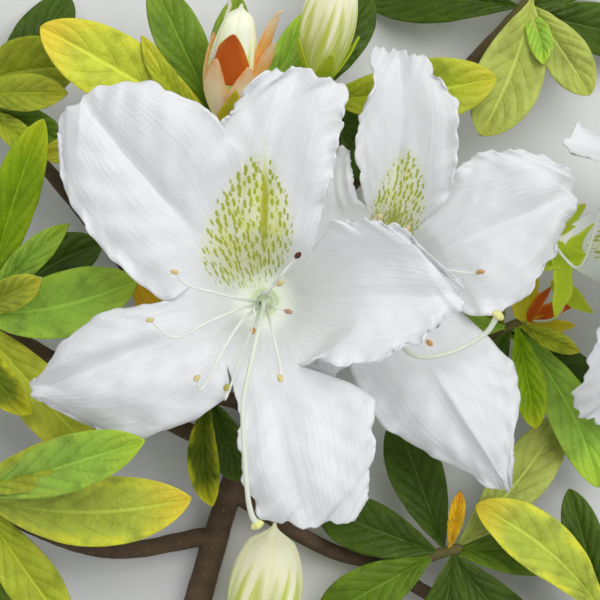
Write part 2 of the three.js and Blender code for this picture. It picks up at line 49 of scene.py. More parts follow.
TUBE_FLOOR = 0.3 - TUBE_LENGTH  # where filaments and styles start, from the height of the rim
CALYX_TOP = -TUBE_LENGTH - 0.5  # from the same height
LEAF_THICK = 0.35
LEAF_FOLD = 0.22  # height of the edges over the midrib, of the half width
LEAF_ARCH = 0.09  # of its length, at the middle
PETIOLE = 0.55  # half width of a leaf's stalk
SCALE_THICK = 0.3  # of sepals, scales and bracts, and of the petals of buds
STEM_CUT = 3.3
STEM_TOP = 1.9
BOUGH_ROOT = 1.9
BOUGH_END = 1.3
BOUGH_SHARE = 0.78  # where a bough ends and its green twig starts
TWIG_END = 1.0
SIDE_BRANCH = 0.75  # thickness of a bough that leaves another bough
FILAMENT = 0.36
FILAMENT_ROOTS = 1.6  # from the middle of the tube
STAMEN_RING = 1.7  # the ring that joins the filaments at the floor of the tube, from its middle
ANTHER = [0.58, 0.48, 0.85]  # half sizes, as are those of the stigma
STYLE = 0.46
OVARY = 1.1
STIGMA = [1.15, 1.15, 0.8]
OLD_STYLE = 0.3
PEDICEL = 0.8
CALYX_CUP = [(0, PEDICEL), (0.3, 1.5), (0.6, 2.4), (1, 2.7)]  # radii at shares of its height
FREE_BRACT = 1.8  # a bract that leans out further than this stands free of the bud, and twists

# Fineness of the meshes
LEAF_ROWS = 64
LEAF_COLS = 21
LOBE_ROWS = 88
LOBE_COLS = 49
TUBE_ROWS = 12
RING_STEPS = 24
SEPAL_NET = [18, 9]
SCALE_NET = [30, 11]
BUD_PETAL_NET = [40, 21]
BRACT_NET = [26, 13]
ANTHER_NET = [12, 16]
STIGMA_NET = [12, 30]

# The dashes of a speckled blotch fan out from a point so far behind the bloom's middle. The blotch narrows
# outwards by this share a millimetre, and leans to the right by this much a millimetre. The half width and
# half length of a dash are shares of the square that it has to itself.
DASH_FAN = 15
BLOTCH_TAPER = 0.03
BLOTCH_LEAN = 0.16
DASH_HALVES = [0.22, 0.6]

# Painted glow of the petals of buds and of dry scales, which stands in for light that shows through them
BUD_GLOW = 0.14
BRACT_GLOW = 0.6 * BUD_GLOW

# The camera looks straight down on the branch
CAMERA_HEIGHT = 505
LENS = 150
SENSOR = 36

# The pale floor, the light from all round, and the place, size and power of each lamp, in metres and watts
FLOOR_HALF = 3
WORLD_COLOUR = (0.95, 0.97, 1.0)
WORLD_LIGHT = 0.48
LAMPS = {"key": [(0.32, 0.4, 0.92), 0.7, 6.7], "fill": [(-0.5, -0.3, 0.95), 0.9, 0.5]}
LIT_HEIGHT = 0.04  # of the point that the lamps face, in metres

# Each lobe of a bloom. turn: where its middle leaves the rim, in degrees. reach: its tip from the bloom's
# middle. bow: how far the tip drifts to the left. left, right: half widths at 1/4, 1/2, 3/4 and the tip.
# rise: the middle's height over the rim at the same places. lift: the left and right edges over the middle,
# half way and at the tip. back: how far the left and right edges trail the middle, at the root and the tip.
# seam: where the right edge leaves the rim, if that isn't half way to the lobe before.
# crimp: how ruffled its margin is. fold: depth of the crease along its midrib, or less than 0 for a ridge.
# veins: height of the ripples along its side veins.
FRONT_LOBES = [
    dict(turn=90, reach=42, bow=-7, left=[10.5, 11, 10.2, 7.2], right=[10.5, 11.2, 10.2, 10],
         rise=[2.5, 5, 6, 5], lift=[[-1.6, 0], [1.5, 1]], back=[[0, 1], [2, 4]],
         crimp=1.7, fold=0.7, veins=0.12),
    dict(turn=134, reach=49, bow=-2, left=[12.8, 14.6, 13.6, 8], right=[13.5, 16.4, 14.3, 9.8],
         rise=[4.3, 7.7, 9.1, 7.5], lift=[[-3.8, -5.5], [1.8, 1.5]], back=[[12, 0], [3, 4]],
         crimp=0.9, fold=1.9, veins=0.26),
    dict(turn=200, reach=46, bow=1, left=[14.1, 15.7, 14, 3.5], right=[6.5, 8.5, 7, 2],
         rise=[2.4, 2.8, 0, -5.5], lift=[[-4, -2], [-3, 0]], back=[[11, 2], [4, 2]],
         crimp=0.8, fold=0.9, veins=0.26),
    dict(turn=281, reach=41.5, bow=1, left=[15.3, 15, 12.6, 9.5], right=[8, 9.5, 10.3, 9.5],
         rise=[2.6, 5.4, 6, 4.5], lift=[[1, -0.5], [-3, -3.5]], back=[[1, 0], [2, 3]],
         crimp=1.4, fold=-0.6, veins=0.14),
    dict(turn=4, seam=300, reach=36, bow=-1.5, left=[13.5, 13.5, 12.3, 6], right=[11, 12, 9.5, 5.7],
         rise=[5.4, 8.6, 10.4, 10], lift=[[3.6, 1], [0.8, 0]], back=[[5, 5], [11, 6]],
         crimp=1.7, fold=0.3, veins=0.1),
]
REAR_LOBES = [
    dict(turn=80, reach=42, bow=4, left=[7, 8.3, 5.5, 5.6], right=[10.3, 10.4, 10.2, 5],
         rise=[4, 7, 9, 8], lift=[[5, 3], [2.8, 1]], back=[[3, 0], [3, 0]],
         crimp=1.6, fold=1.3, veins=0.12),
    dict(turn=122, reach=25, bow=-6, left=[5, 5.5, 4.5, 2.5], right=[4, 3.5, 3, 1.5],
         rise=[3.6, 5.8, 7.3, 8], lift=[[0, 0], [0, 0]], back=[[-3, -1], [1, 1.5]],
         crimp=0.3, fold=0.3, veins=0.05),
    dict(turn=228, reach=22, bow=0, left=[6, 6, 5.5, 3.5], right=[6, 5.5, 4, 2.6],
         rise=[3.6, 5.6, 6.8, 7], lift=[[0, 0], [0, 0]], back=[[-1, 0], [3, 2]],
         crimp=1.0, fold=0.8, veins=0.1),
    dict(turn=300, seam=240, reach=47, bow=1, left=[13, 12, 6.5, 0.7], right=[14, 13.4, 8, 2.2],
         rise=[5, 6.3, 5.5, 1], lift=[[-3, -0.5], [-6, -2]], back=[[-3.5, 1.5], [8, 1.5]],
         crimp=0.9, fold=-1.8, veins=0.2),
    dict(turn=25, reach=40, bow=-1, left=[12, 13.5, 11.5, 9], right=[13.5, 15, 11.8, 6],
         rise=[3, 4.6, 5.5, 4], lift=[[0, 1], [1.2, 0]], back=[[-1.5, 1.5], [8, 6]],
         crimp=0.9, fold=1.5, veins=0.16),
]
FAR_LOBE = dict(reach=33, bow=0, left=[9.7, 11, 10, 6.6], right=[9.7, 11, 10, 6.6],
                rise=[3.6, 6, 7.2, 7.5], lift=[[0.5, 1], [0.5, 1]], back=[[0, 3.5], [0, 3.5]],
                crimp=1.0, fold=1.0, veins=0.1)
SIDE_LOBES = [
    dict(turn=90, reach=19.5, bow=5, left=[9, 10.5, 9, 4], right=[11, 11.5, 8, 2.6],
         rise=[0.4, -1.5, -6, -12.5], lift=[[6.4, 3], [-6.4, 0]], back=[[2, 3], [0, -5]],
         crimp=0.1, fold=0.3, veins=0.05),
    dict(turn=175, reach=30, bow=0, left=[11, 13, 11.7, 7.8], right=[11, 13, 11.7, 7.8],
         rise=[4, 7.3, 9.6, 11.3], lift=[[0.5, 1], [0.5, 1]], back=[[0, 3.5], [0, 3.5]],
         crimp=1.0, fold=1.0, veins=0.1),
    dict(turn=262, reach=33, bow=9, left=[11, 13.7, 13.4, 6.5], right=[12.7, 13, 11, 7.7],
         rise=[-1, -3, -6, -11], lift=[[1.7, 3], [-0.5, -3]], back=[[3, -1], [2, 1]],
         crimp=0.8, fold=0.8, veins=0.1),
    dict(FAR_LOBE, turn=320),
    dict(FAR_LOBE, turn=24),
]

# Blooms: the middle and the radius of the rim, the way that the bloom faces, the middle and half sizes of its
# speckled blotch and of the darker streak in it, how fine the speckles are, in dashes a millimetre, and how
# much of them each lobe takes
BLOOMS = {
    "front": dict(at=[-6.7, -0.4, 50], axis=[0, 0, 1], rim=13, lobes=FRONT_LOBES,
                  blotch=[-2.4, 14.5, 8.6, 13.5], streak=[0.3, 17, 0.95, 8.5],
                  fine=0.84, share=[1, 1, 0, 0, 1]),
    "rear": dict(at=[15.1, 4.2, 33], axis=[0, 0, 1], rim=13, lobes=REAR_LOBES,
                 blotch=[3.4, 13.5, 5.8, 11.5], streak=[2.6, 9.5, 2, 6],
                 fine=1.15, share=[0.8, 0.3, 0, 0, 0.4]),
    "side": dict(at=[64, 10.4, 34], axis=[0.866, 0, 0.5], rim=11.5, lobes=SIDE_LOBES,
                 blotch=[-15, 0, 9, 7], streak=[-15, 0, 6, 1.2],
                 fine=0.8, share=[0, 1, 0, 0, 0]),
}

# Filaments: turn at the root, turn, reach and height of the elbow, turn and reach of the anther, and its tint
FILAMENTS = {
    "front": [
        [172, 167, 14, 7, 161, 16.6, "cream"], [196, 202, 17, 6.5, 189, 20.4, "cream"],
        [222, 235, 19.2, 5.5, 229, 18, "cream"], [248, 249, 18.6, 5, 247, 16.6, "olive"],
        [212, 243, 4.2, -1, 250, 5.6, "orange"], [290, 285, 12, 5, 283, 14, "cream"],
        [100, 60, 3.2, 4, 47, 4.6, "cream"], [60, 54, 8.5, 6.5, 53, 10.5, "brown"],
        [335, 340, 3.6, 4.5, 340, 4.9, "pink"],
    ],
    "rear": [
        [20, 2, 17, 13, 3, 18, "orange"], [290, 306, 13, 9, 306, 15, "orange"],
        [60, 62, 8, 10, 62, 10, "cream"], [215, 215, 9, 9, 215, 11, "cream"],
        [110, 95, 8, 10, 92, 11, "cream"],
    ],
    "side": [
        [40, 45, 13, 10, 45, 15, "cream"], [150, 120, 13, 10, 115, 15, "cream"],
        [220, 225, 12, 9, 225, 14, "orange"],
    ],
}
# Styles: points from the middle of the bloom's rim
STYLES = {
    "front": [[-0.2, -1.8, -2], [-0.9, -5.4, 5], [-2.3, -12, 8.5], [-3.5, -19.2, 9.5], [-2.8, -32.6, 9],
              [-2.1, -37.6, 7.5], [-1, -39.9, 6.5]],
    "rear": [[0.7, -4.2, 3], [4.7, -13.6, 10.5], [11.3, -14.3, 11], [18.6, -10.8, 10.8], [21.3, -7, 12.5]],
    "side": [[0, 1, 4], [1, 3, 12], [1, 7, 20], [0, 10, 25]],
}
# Stalks of the blooms: the way from the calyx to the limb that carries it
STALKS = {
    "front": [[-6, -0.4, 19], [-4.6, -1, 13], [-2, -2.6, 8.1]],
    "rear": [[13.5, 4.4, 6.2], [8, 3.2, 5.8], [0.3, 0.6, 8.6]],
    "side": [[42.9, 8, 20.8], [43.2, 2, 17.6], [43.6, -4.6, 14.3]],
}

# How large each calyx's sepals are, where 1 is usual
SEPALS = {"front": 1.0, "rear": 1.0, "side": 1.4}
# Scales and spent sepals beside a calyx, by their base: turn, length, half width, lift of the tip and tint
SCALES = {
    "side": [
        [[44.6, -4.2, 15], [[88, 11.5, 2.3, 8, "olive"], [112, 8.5, 2, 6, "olive"],
                            [24, 11.5, 1.5, 5, "rust"], [62, 7.5, 1, 9, "rust"], [355, 9, 1.6, 2, "olive"]]],
        [[48.6, 3.6, 21], [[322, 10, 1.6, 1, "leaf_green"]]],
        [[49.6, 8, 33], [[47, 8.8, 1.6, 3, "leaf_green"], [2, 4.8, 1.4, 2, "leaf_green"],
                         [264, 11.5, 1.8, -3, "leaf_green"], [205, 5, 1.5, 0, "leaf_green"],
                         [130, 5, 1.4, 1, "leaf_green"]]],
    ],
}
# The style and the stalk of a dropped bloom beside a calyx
OLD_STYLES = {
    "side": [
        [[49.3, 8.4, 32.6], [47.8, 10.4, 35], [49.4, 8, 37], [51.4, 6, 39], [52.7, 7.1, 41], [54, 11.1, 43],
         [55.2, 16.2, 45]],
        [[44.6, -4.2, 15], [49.5, -3.4, 20], [51.4, 2.5, 28], [49.6, 8, 33]],
    ],
}

# Limbs: each bough's parent, and its way from the parent to the tip of its shoot
MAIN_STEM = [[-30, -108, 3.3], [-25, -80, 3.4], [-19, -55, 4], [-12, -32, 5.5], [-5, -12, 7], [1, 3, 9]]
BOUGHS = {
    "upper": ["main_stem", [[0, 1, 8.7], [2, 14, 8.5], [3.5, 30, 12], [3, 40.7, 21]]],
    "upper_left": ["main_stem", [[-4, -9, 7.4], [-9, 8, 9], [-13, 22, 13], [-15, 34, 23]]],
    "upper_right": ["upper_bough", [[2.1, 14, 8.5], [14, 27, 6.5], [33, 46, 8], [47, 61, 17]]],
    "right": ["main_stem", [[-2, -5, 8], [15, -9, 5.5], [32, -9, 7], [44, -4, 15]]],
    "lower_right": ["main_stem", [[-14, -38, 5.2], [6, -50, 5], [20, -52, 7], [32, -48.5, 14]]],
    "far_right": ["lower_right_bough", [[15, -52, 6], [32, -62, 5], [50, -66, 7], [62, -62, 16]]],
    "lower": ["main_stem", [[-24.5, -78, 3.5], [-17, -80, 4], [-10, -77.5, 8]]],
    "middle": ["main_stem", [[-8.5, -22, 6.3], [-13, -20, 8], [-18, -19, 15]]],
    "lower_left": ["main_stem", [[-17, -47, 4.6], [-38, -50, 6], [-55, -44, 12], [-66, -36, 23]]],
    "left": ["main_stem", [[-12, -31, 5.6], [-35, -20, 5.5], [-55, -8, 10], [-66.5, -1, 19]]],
    "far_left": ["main_stem", [[-7, -18, 6.6], [-30, 2, 6.5], [-52, 28, 8], [-68, 44, 15]]],
}

# Leaves of each shoot. seen: turn, length, lift of the tip over the base, width, bow to the left, roll in
# degrees and tint. whorl: how many leaves stand around them, the turn of the first, the step between them,
# their length, the height of their tips over the floor and their width.
SHOOTS = {
    "upper_left": dict(
        seen=[[151, 39, 13, 15.5, 0, -5, "yellow_tip"], [115, 32, 6, 11, 0, 8, "bluish"],
              [129, 24, 14, 5.5, 2, 20, "yellow_green"], [59, 30, -2, 7.5, -2, 0, "green"],
              [85, 29.5, 1, 9, 1, 0, "bluish"], [187, 36, -1, 9, 0, 0, "yellow_green"]],
        whorl=[2, 213, 38, 28, 15, 12]),
    "upper": dict(
        seen=[[5.3, 34.7, 7, 14, -1.5, 0, "yellow_green"], [82, 34, -6, 9, 0, 0, "dark"]],
        whorl=[4, 261, 54, 22, 14, 11]),
    "upper_right": dict(
        seen=[[249, 29.5, 7, 15, 1.2, 0, "pale"], [303, 22, 3, 10.5, 0, 0, "pale"],
              [284, 12.5, 10, 5.5, 1, 10, "green"]],
        whorl=[5, 350, 46, 29, 1, 12]),
    "right": dict(
        seen=[[279, 20.5, 7, 7.5, 0, 0, "fresh"], [298, 36, 1, 11, 2, 0, "green"],
              [176, 16, 4, 6.5, 0, 0, "green"], [112, 10, 2, 7, 1, 0, "olive"],
              [352, 13, 3, 6, 0, 0, "fresh"], [335, 12.5, 10, 4.5, 0, 10, "yellow_green"]],
        whorl=[2, 241, 80, 29, 1, 12]),
    "lower_right": dict(
        seen=[[50, 34, -5, 12, -1, 0, "pale"], [83, 12.5, 10, 3.6, 0, 0, "orange"]],
        whorl=[6, 110, 50, 28, 6, 12.5]),
    "far_right": dict(
        seen=[[139, 35, 6, 13, -2.5, 15, "yellow_edge_light"], [105, 27, 2, 9, 0, 0, "dark"]],
        whorl=[5, 232, 42, 27, 1, 12]),
    "lower": dict(
        seen=[],
        whorl=[3, 274, 44, 28, 1, 11]),
    "middle": dict(
        seen=[[272.5, 20.5, 11, 7, -1.6, 0, "yellow_edge"], [289, 17.5, -2, 9, 0, 0, "dark"],
              [117, 31, 18, 10, 0, 0, "orange"]],
        whorl=[1, 175, 40, 19, 19, 11]),
    "lower_left": dict(
        seen=[[20, 32, 27, 10, 0, -10, "yellow_green"], [19, 38, 35, 12, 0, -8, "green"],
              [1.9, 43.1, 21, 15, -2.5, -5, "yellow_edge_light"], [306, 31, 4, 12, 0, 0, "yellow_green"]],
        whorl=[4, 147, 43, 31, 1, 12]),
    "left": dict(
        seen=[[10, 35, 21, 14.5, -2.5, -8, "green"], [23, 17, 23, 7.5, 0, 10, "yellow_green"],
              [42, 26, 19, 6.5, 0.5, 0, "green"], [70.4, 40.3, 17, 10.5, 0.5, 0, "fresh"],
              [35, 27, -4, 12, 2, 0, "dark"], [312, 40, 3, 13, 0, 0, "yellow_tip"],
              [304, 23, 12, 8, -2.5, 0, "yellow_edge"]],
        whorl=[2, 165, 50, 30, 1, 12]),
    "far_left": dict(
        seen=[[8, 23, 8, 15, 1, 0, "olive"], [357, 20, 15, 8.5, 0, 0, "yellow_green"],
              [333, 20.5, 6, 8, 0, 0, "bluish"], [319, 16.5, 12, 6, 0, 0, "yellow_green"]],
        whorl=[4, 59, 46, 28, 1, 12]),
}
# The whorl leaves take the dark tints, painted shade for leaves that lie low under the others
WHORL_TINTS = ["dark", "shade", "dark"]  # dealt out in turn

# Tints of the leaves: the blade, its margin and its tip, as linear colours
LEAF_TINTS = {
    "green": [(0.38, 0.62, 0.07), (0.44, 0.66, 0.06), (0.48, 0.66, 0.05)],
    # dark: a dark green, darkened further as painted shade for leaves that lie in shadow
    "dark": [(0.06, 0.115, 0.006), (0.08, 0.14, 0.008), (0.07, 0.13, 0.008)],
    "shade": [(0.14, 0.24, 0.012), (0.17, 0.28, 0.014), (0.16, 0.26, 0.014)],
    "olive": [(0.32, 0.38, 0.015), (0.36, 0.4, 0.02), (0.38, 0.38, 0.02)],
    "bluish": [(0.17, 0.3, 0.02), (0.22, 0.34, 0.03), (0.26, 0.36, 0.03)],
    "fresh": [(0.25, 0.42, 0.004), (0.34, 0.48, 0.006), (0.45, 0.52, 0.01)],
    "yellow_green": [(0.44, 0.52, 0.03), (0.52, 0.56, 0.04), (0.62, 0.58, 0.04)],
    "yellow_tip": [(0.68, 0.75, 0.06), (0.76, 0.74, 0.06), (0.92, 0.68, 0.06)],
    "pale": [(0.46, 0.53, 0.1), (0.5, 0.56, 0.12), (0.5, 0.55, 0.1)],
    "yellow_edge": [(0.16, 0.22, 0.006), (0.66, 0.66, 0.02), (0.7, 0.66, 0.02)],
    "yellow_edge_light": [(0.5, 0.6, 0.07), (0.76, 0.76, 0.05), (0.85, 0.66, 0.05)],
    "orange": [(1.0, 0.6, 0.02), (1.0, 0.62, 0.02), (0.95, 0.42, 0.02)],
}

# Tints of the anthers (light and dark), of dry scales and bracts (body, edges and tip) and of the petals of
# buds (top and foot)
ANTHER_TINTS = {
    "cream": [(0.78, 0.68, 0.36), (0.66, 0.5, 0.18)],
    "olive": [(0.5, 0.48, 0.12), (0.34, 0.32, 0.06)],
    "orange": [(0.72, 0.42, 0.16), (0.55, 0.25, 0.07)],
    "brown": [(0.16, 0.04, 0.02), (0.08, 0.02, 0.01)],
    "pink": [(0.6, 0.36, 0.25), (0.45, 0.22, 0.14)],
}
BRACT_TINTS = {
    "cream": [(0.98, 0.76, 0.5), (0.8, 0.26, 0.015), (0.85, 0.3, 0.03)],
    "rust": [(0.5, 0.095, 0.004), (0.72, 0.2, 0.015), (0.42, 0.07, 0.004)],
    "olive": [(0.55, 0.52, 0.02), (0.75, 0.55, 0.03), (0.65, 0.5, 0.03)],
    "flame": [(0.95, 0.5, 0.16), (0.9, 0.25, 0.02), (0.98, 0.92, 0.8)],
    "yellow": [(0.8, 0.68, 0.05), (0.88, 0.62, 0.04), (0.85, 0.55, 0.04)],
    "leaf_green": [(0.42, 0.56, 0.02), (0.52, 0.64, 0.04), (0.55, 0.64, 0.04)],
    "pale": [(0.9, 0.88, 0.7), (0.85, 0.8, 0.55), (0.9, 0.86, 0.7)],
}
BUD_TINTS = {
    "green_white": [(0.93, 0.96, 0.72), (0.6, 0.7, 0.16)],
    "cream_white": [(0.96, 0.95, 0.66), (0.52, 0.6, 0.08)],
}

SEPAL_TURNS = [200, 272, 344, 56, 128]


def sepals_of(shares, half_width):
    """The bracts of a bud that has only its five green sepals, each as long as its share of the bud"""
    return [[turn, 0.0, share, half_width, 0.5, "leaf_green"] for turn, share in zip(SEPAL_TURNS, shares)]


# Buds: the base, the tip, the greatest radius and how far up it lies, and the shoot that carries it.
# petals: how many wrap round it, how wide each is and how far it twists, in degrees. bracts: turn, foot and
# length as shares of the bud, half width, how far the tip leans out, and tint.
BUDS = {
    "orange_bud": dict(
        at=[-14.4, 34.6, 26], tip=[-10.8, 54.6, 43], radius=4.7, peak=0.4, shoot="upper_left",
        petals=[4, 170, 25], tint="green_white",
        bracts=[[247, 0.44, 0.38, 5.6, 0.1, "rust"], [220, 0.04, 0.58, 5.6, 0.4, "cream"],
                [290, 0.04, 0.56, 6.0, 0.6, "cream"], [268, 0.0, 0.44, 2.9, 1.5, "olive"],
                [336, 0.42, 0.62, 2.2, 6.6, "flame"], [326, 0.3, 0.5, 2.4, 4.4, "flame"],
                [5, 0.1, 0.5, 1.5, 3.2, "yellow"], [150, 0.1, 0.6, 4.4, 0.3, "cream"],
                [70, 0.1, 0.6, 4.4, 0.3, "cream"], [200, 0.55, 0.6, 0.9, 2.4, "pale"]]),
    "white_bud": dict(
        at=[3.5, 42, 24], tip=[7.3, 63, 45], radius=5.2, peak=0.5, shoot="upper",
        petals=[5, 160, 50], tint="cream_white",
        bracts=sepals_of([0.42, 0.4, 0.42, 0.42, 0.42], 2.6)),
    "lower_bud": dict(
        at=[-9.2, -74, 11], tip=[-4.9, -43.5, 17], radius=7.4, peak=0.55, shoot="lower",
        petals=[5, 165, 60], tint="cream_white",
        bracts=sepals_of([0.32] * 5, 2.8)),
}


# Vectors and curves

def unit(v):
    v = np.asarray(v, float)
    return v / np.linalg.norm(v, axis=-1, keepdims=True)


def polar(turn, reach, height):
    """Points at a turn in degrees, a reach from the z axis and a height"""
    angle = np.radians(turn)
    columns = np.broadcast_arrays(reach * np.cos(angle), reach * np.sin(angle), height)
    return np.stack(columns, -1).astype(float)


def smoothstep(x, low, high):
    x = np.clip((np.asarray(x, float) - low) / (high - low), 0, 1)
    return x * x * (3 - 2 * x)


def along(points, shares):
    """Places on a smooth curve through the points, at shares of its spans"""
    p = np.asarray(points, float)
    p = np.vstack([2 * p[0] - p[1], p, 2 * p[-1] - p[-2]])
    spans = len(points) - 1
    u = np.clip(np.asarray(shares, float), 0, 1) * spans
    i = np.minimum(u.astype(int), spans - 1)
    w = (u - i)[..., None]
    a, b, c, d = p[i], p[i + 1], p[i + 2], p[i + 3]
    leave = (c - a) / 2
    reach = (d - b) / 2
    square = 3 * (c - b) - 2 * leave - reach
    cube = 2 * (b - c) + leave + reach
    return b + leave * w + square * w ** 2 + cube * w ** 3


def even(points, shares):
    """Places on the same curve, at shares of its length"""
    grid = np.linspace(0, 1, 201)
    fine = along(points, grid)
    length = np.concatenate([[0], np.cumsum(np.linalg.norm(np.diff(fine, axis=0), axis=1))])
    return along(points, np.interp(np.asarray(shares) * length[-1], length, grid))


def placer(at, direction):
    """A function that moves points into a frame at a place, with z along the direction and x level"""
    z = unit(direction)
    x = unit(np.cross((0, 1, 0), z))
    basis = np.stack([x, np.cross(z, x), z])
    return lambda points: np.asarray(points) @ basis + np.asarray(at, float)


# Meshes

def new_object(name, data):
    """An object in the scene with its data"""
    thing = bpy.data.objects.new(name, data)
    bpy.context.scene.collection.objects.link(thing)
    return thing


def net(rows, cols):
    """A sheet's coordinates, s from foot (0) to tip (1) and t from side to side (-1 to 1), and its UVs"""
    s, t = np.meshgrid(np.linspace(0, 1, rows), np.linspace(-1, 1, cols), indexing="ij")
    return s, t, np.stack([(t + 1) / 2, s], -1)


class Shape:
    """Points, faces, material slots, UVs and some data a point, gathered for one mesh"""

    def __init__(self):
        self.points = []
        self.faces = []
        self.slots = []
        self.uvs = []
        self.data = []
        self.count = 0

    def add(self, points, faces, slots, uvs=None, data=()):
        size = len(points)
        self.points.append(np.asarray(points, float))
        self.faces.extend([tuple(int(i) + self.count for i in face) for face in faces])
        self.slots.extend(np.broadcast_to(slots, len(faces)).tolist())
        self.uvs.append(np.zeros((size, 2)) if uvs is None else np.asarray(uvs, float))
        self.data.append(np.asarray(data, float))
        self.count += size

    def make(self, name, finishes, attributes=()):
        """One object, with its place in its mesh. Each attribute holds up to three columns of the data."""
        mesh = bpy.data.meshes.new(name)
        mesh.from_pydata(((np.concatenate(self.points) + SHIFT) * MM).tolist(), [], self.faces)
        mesh.polygons.foreach_set("material_index", self.slots)
        mesh.polygons.foreach_set("use_smooth", [True] * len(self.faces))
        corners = np.empty(len(mesh.loops), int)
        mesh.loops.foreach_get("vertex_index", corners)
        layer = mesh.uv_layers.new(name="UVMap")
        layer.data.foreach_set("uv", np.concatenate(self.uvs)[corners].ravel())
        for n, label in enumerate(attributes):
            columns = np.concatenate(self.data)[:, 3 * n:3 * n + 3]
            columns = np.pad(columns, ((0, 0), (0, 3 - columns.shape[1])))
            values = mesh.attributes.new(label, "FLOAT_VECTOR", "POINT")
            values.data.foreach_set("vector", columns.ravel())
        for finish in finishes:
            mesh.materials.append(finish)
        mesh.update()
        return new_object(name, mesh)


def quads_of(rows, cols):
    """Faces of a grid whose rows run outwards and columns anticlockwise, seen from above"""
    index = np.arange(rows * cols).reshape(rows, cols)
    return np.stack([index[:-1, :-1], index[1:, :-1], index[1:, 1:], index[:-1, 1:]], -1).reshape(-1, 4)


def normals_of(grid):
    return unit(np.cross(np.gradient(grid, axis=0), np.gradient(grid, axis=1)) + 1e-12)


def add_sheet(shape, grid, thick, uvs, top=0, under=0):
    """Adds a closed sheet with its middle on a grid of points"""
    rows, cols = grid.shape[:2]
    half = normals_of(grid) * np.broadcast_to(thick, (rows, cols))[..., None] / 2
    size = rows * cols
    points = np.concatenate([(grid + half).reshape(-1, 3), (grid - half).reshape(-1, 3)])
    upper = quads_of(rows, cols)
    lower = upper[:, ::-1] + size
    index = np.arange(size).reshape(rows, cols)
    border = np.concatenate([index[:-1, 0], index[-1, :-1], index[:0:-1, -1], index[0, :0:-1]])
    after = np.roll(border, -1)
    rim = np.stack([after, border, border + size, after + size], -1)
    slots = [top] * len(upper) + [under] * (len(lower) + len(rim))
    shape.add(points, np.concatenate([upper, lower, rim]), slots, np.tile(uvs.reshape(-1, 2), (2, 1)))


def add_ball(shape, place, radii, slot, rings, sides, form):
    """Adds a closed ball, shaped by a function of its points on the unit sphere"""
    height = np.radians(np.linspace(-90, 90, rings + 1))[1:-1]
    angle = np.linspace(0, 360, sides, endpoint=False)
    body = polar(angle[None, :], np.cos(height)[:, None], np.sin(height)[:, None]).reshape(-1, 3)
    unit_points = np.concatenate([body, [[0, 0, -1], [0, 0, 1]]])
    index = np.arange(len(body)).reshape(rings - 1, sides)
    beside = np.roll(index, -1, axis=1)
    faces = np.stack([index[:-1], beside[:-1], beside[1:], index[1:]], -1).reshape(-1, 4).tolist()
    low, high = len(body), len(body) + 1
    faces += [(low, beside[0, k], index[0, k]) for k in range(sides)]
    faces += [(high, index[-1, k], beside[-1, k]) for k in range(sides)]
    shape.add(place(form(unit_points) * np.asarray(radii)), faces, slot)


# Node trees

class Value:
    """An output of a node, with arithmetic that adds Math nodes to its tree"""

    def __init__(self, nodes, socket):
        self.nodes = nodes
        self.socket = socket

    def __add__(self, other):
        return self.nodes.calc("ADD", self, other)

    def __sub__(self, other):
        return self.nodes.calc("SUBTRACT", self, other)

    def __mul__(self, other):
        return self.nodes.calc("MULTIPLY", self, other)

    def __truediv__(self, other):
        return self.nodes.calc("DIVIDE", self, other)

    def __pow__(self, other):
        return self.nodes.calc("POWER", self, other)

    def __abs__(self):
        return self.nodes.calc("ABSOLUTE", self)


class Nodes:
    """A node tree, with short calls for its nodes"""

    def __init__(self, tree):
        self.tree = tree

    def feed(self, socket, value):
        """Links a value to a socket, or sets the socket to a plain number, colour or the like"""
        if isinstance(value, Value):
            self.tree.links.new(value.socket, socket)
        else:
            socket.default_value = value

    def add(self, kind, inputs=None, **settings):
        """A node with its settings, and with something fed to its inputs"""
        node = self.tree.nodes.new(kind)
        for label, value in settings.items():
            setattr(node, label, value)
        for label, value in (inputs or {}).items():
            self.feed(node.inputs[label], value)
        return node

    def out(self, kind, output=0, inputs=None, **settings):
        """One output of a new node"""
        return Value(self, self.add(kind, inputs, **settings).outputs[output])

    def calc(self, operation, *values):
        return self.out("ShaderNodeMath", 0, dict(enumerate(values)), operation=operation)


class Maker(Nodes):
    """A Geometry Nodes tree that is given a geometry, a material and some numbers"""

    def __init__(self, name, numbers):
        super().__init__(bpy.data.node_groups.new(name, "GeometryNodeTree"))
        sockets = self.tree.interface
        for way in ("INPUT", "OUTPUT"):
            sockets.new_socket("Geometry", in_out=way, socket_type="NodeSocketGeometry")
        sockets.new_socket("Material", in_out="INPUT", socket_type="NodeSocketMaterial")
        for label, value in numbers.items():
            kind = "NodeSocketInt" if isinstance(value, int) else "NodeSocketFloat"
            sockets.new_socket(label, in_out="INPUT", socket_type=kind).default_value = value
        outputs = self.tree.nodes.new("NodeGroupInput").outputs
        self.given = {socket.name: Value(self, socket) for socket in outputs if socket.name}

    def end(self, geometry):
        """Ends the tree with plain geometry, in the material that it is given"""
        real = self.out("GeometryNodeRealizeInstances", 0, {"Geometry": geometry})
        finished = self.out("GeometryNodeSetMaterial", 0, {
            "Geometry": real, "Material": self.given["Material"],
        })
        self.add("NodeGroupOutput", {0: finished})
        return self.tree


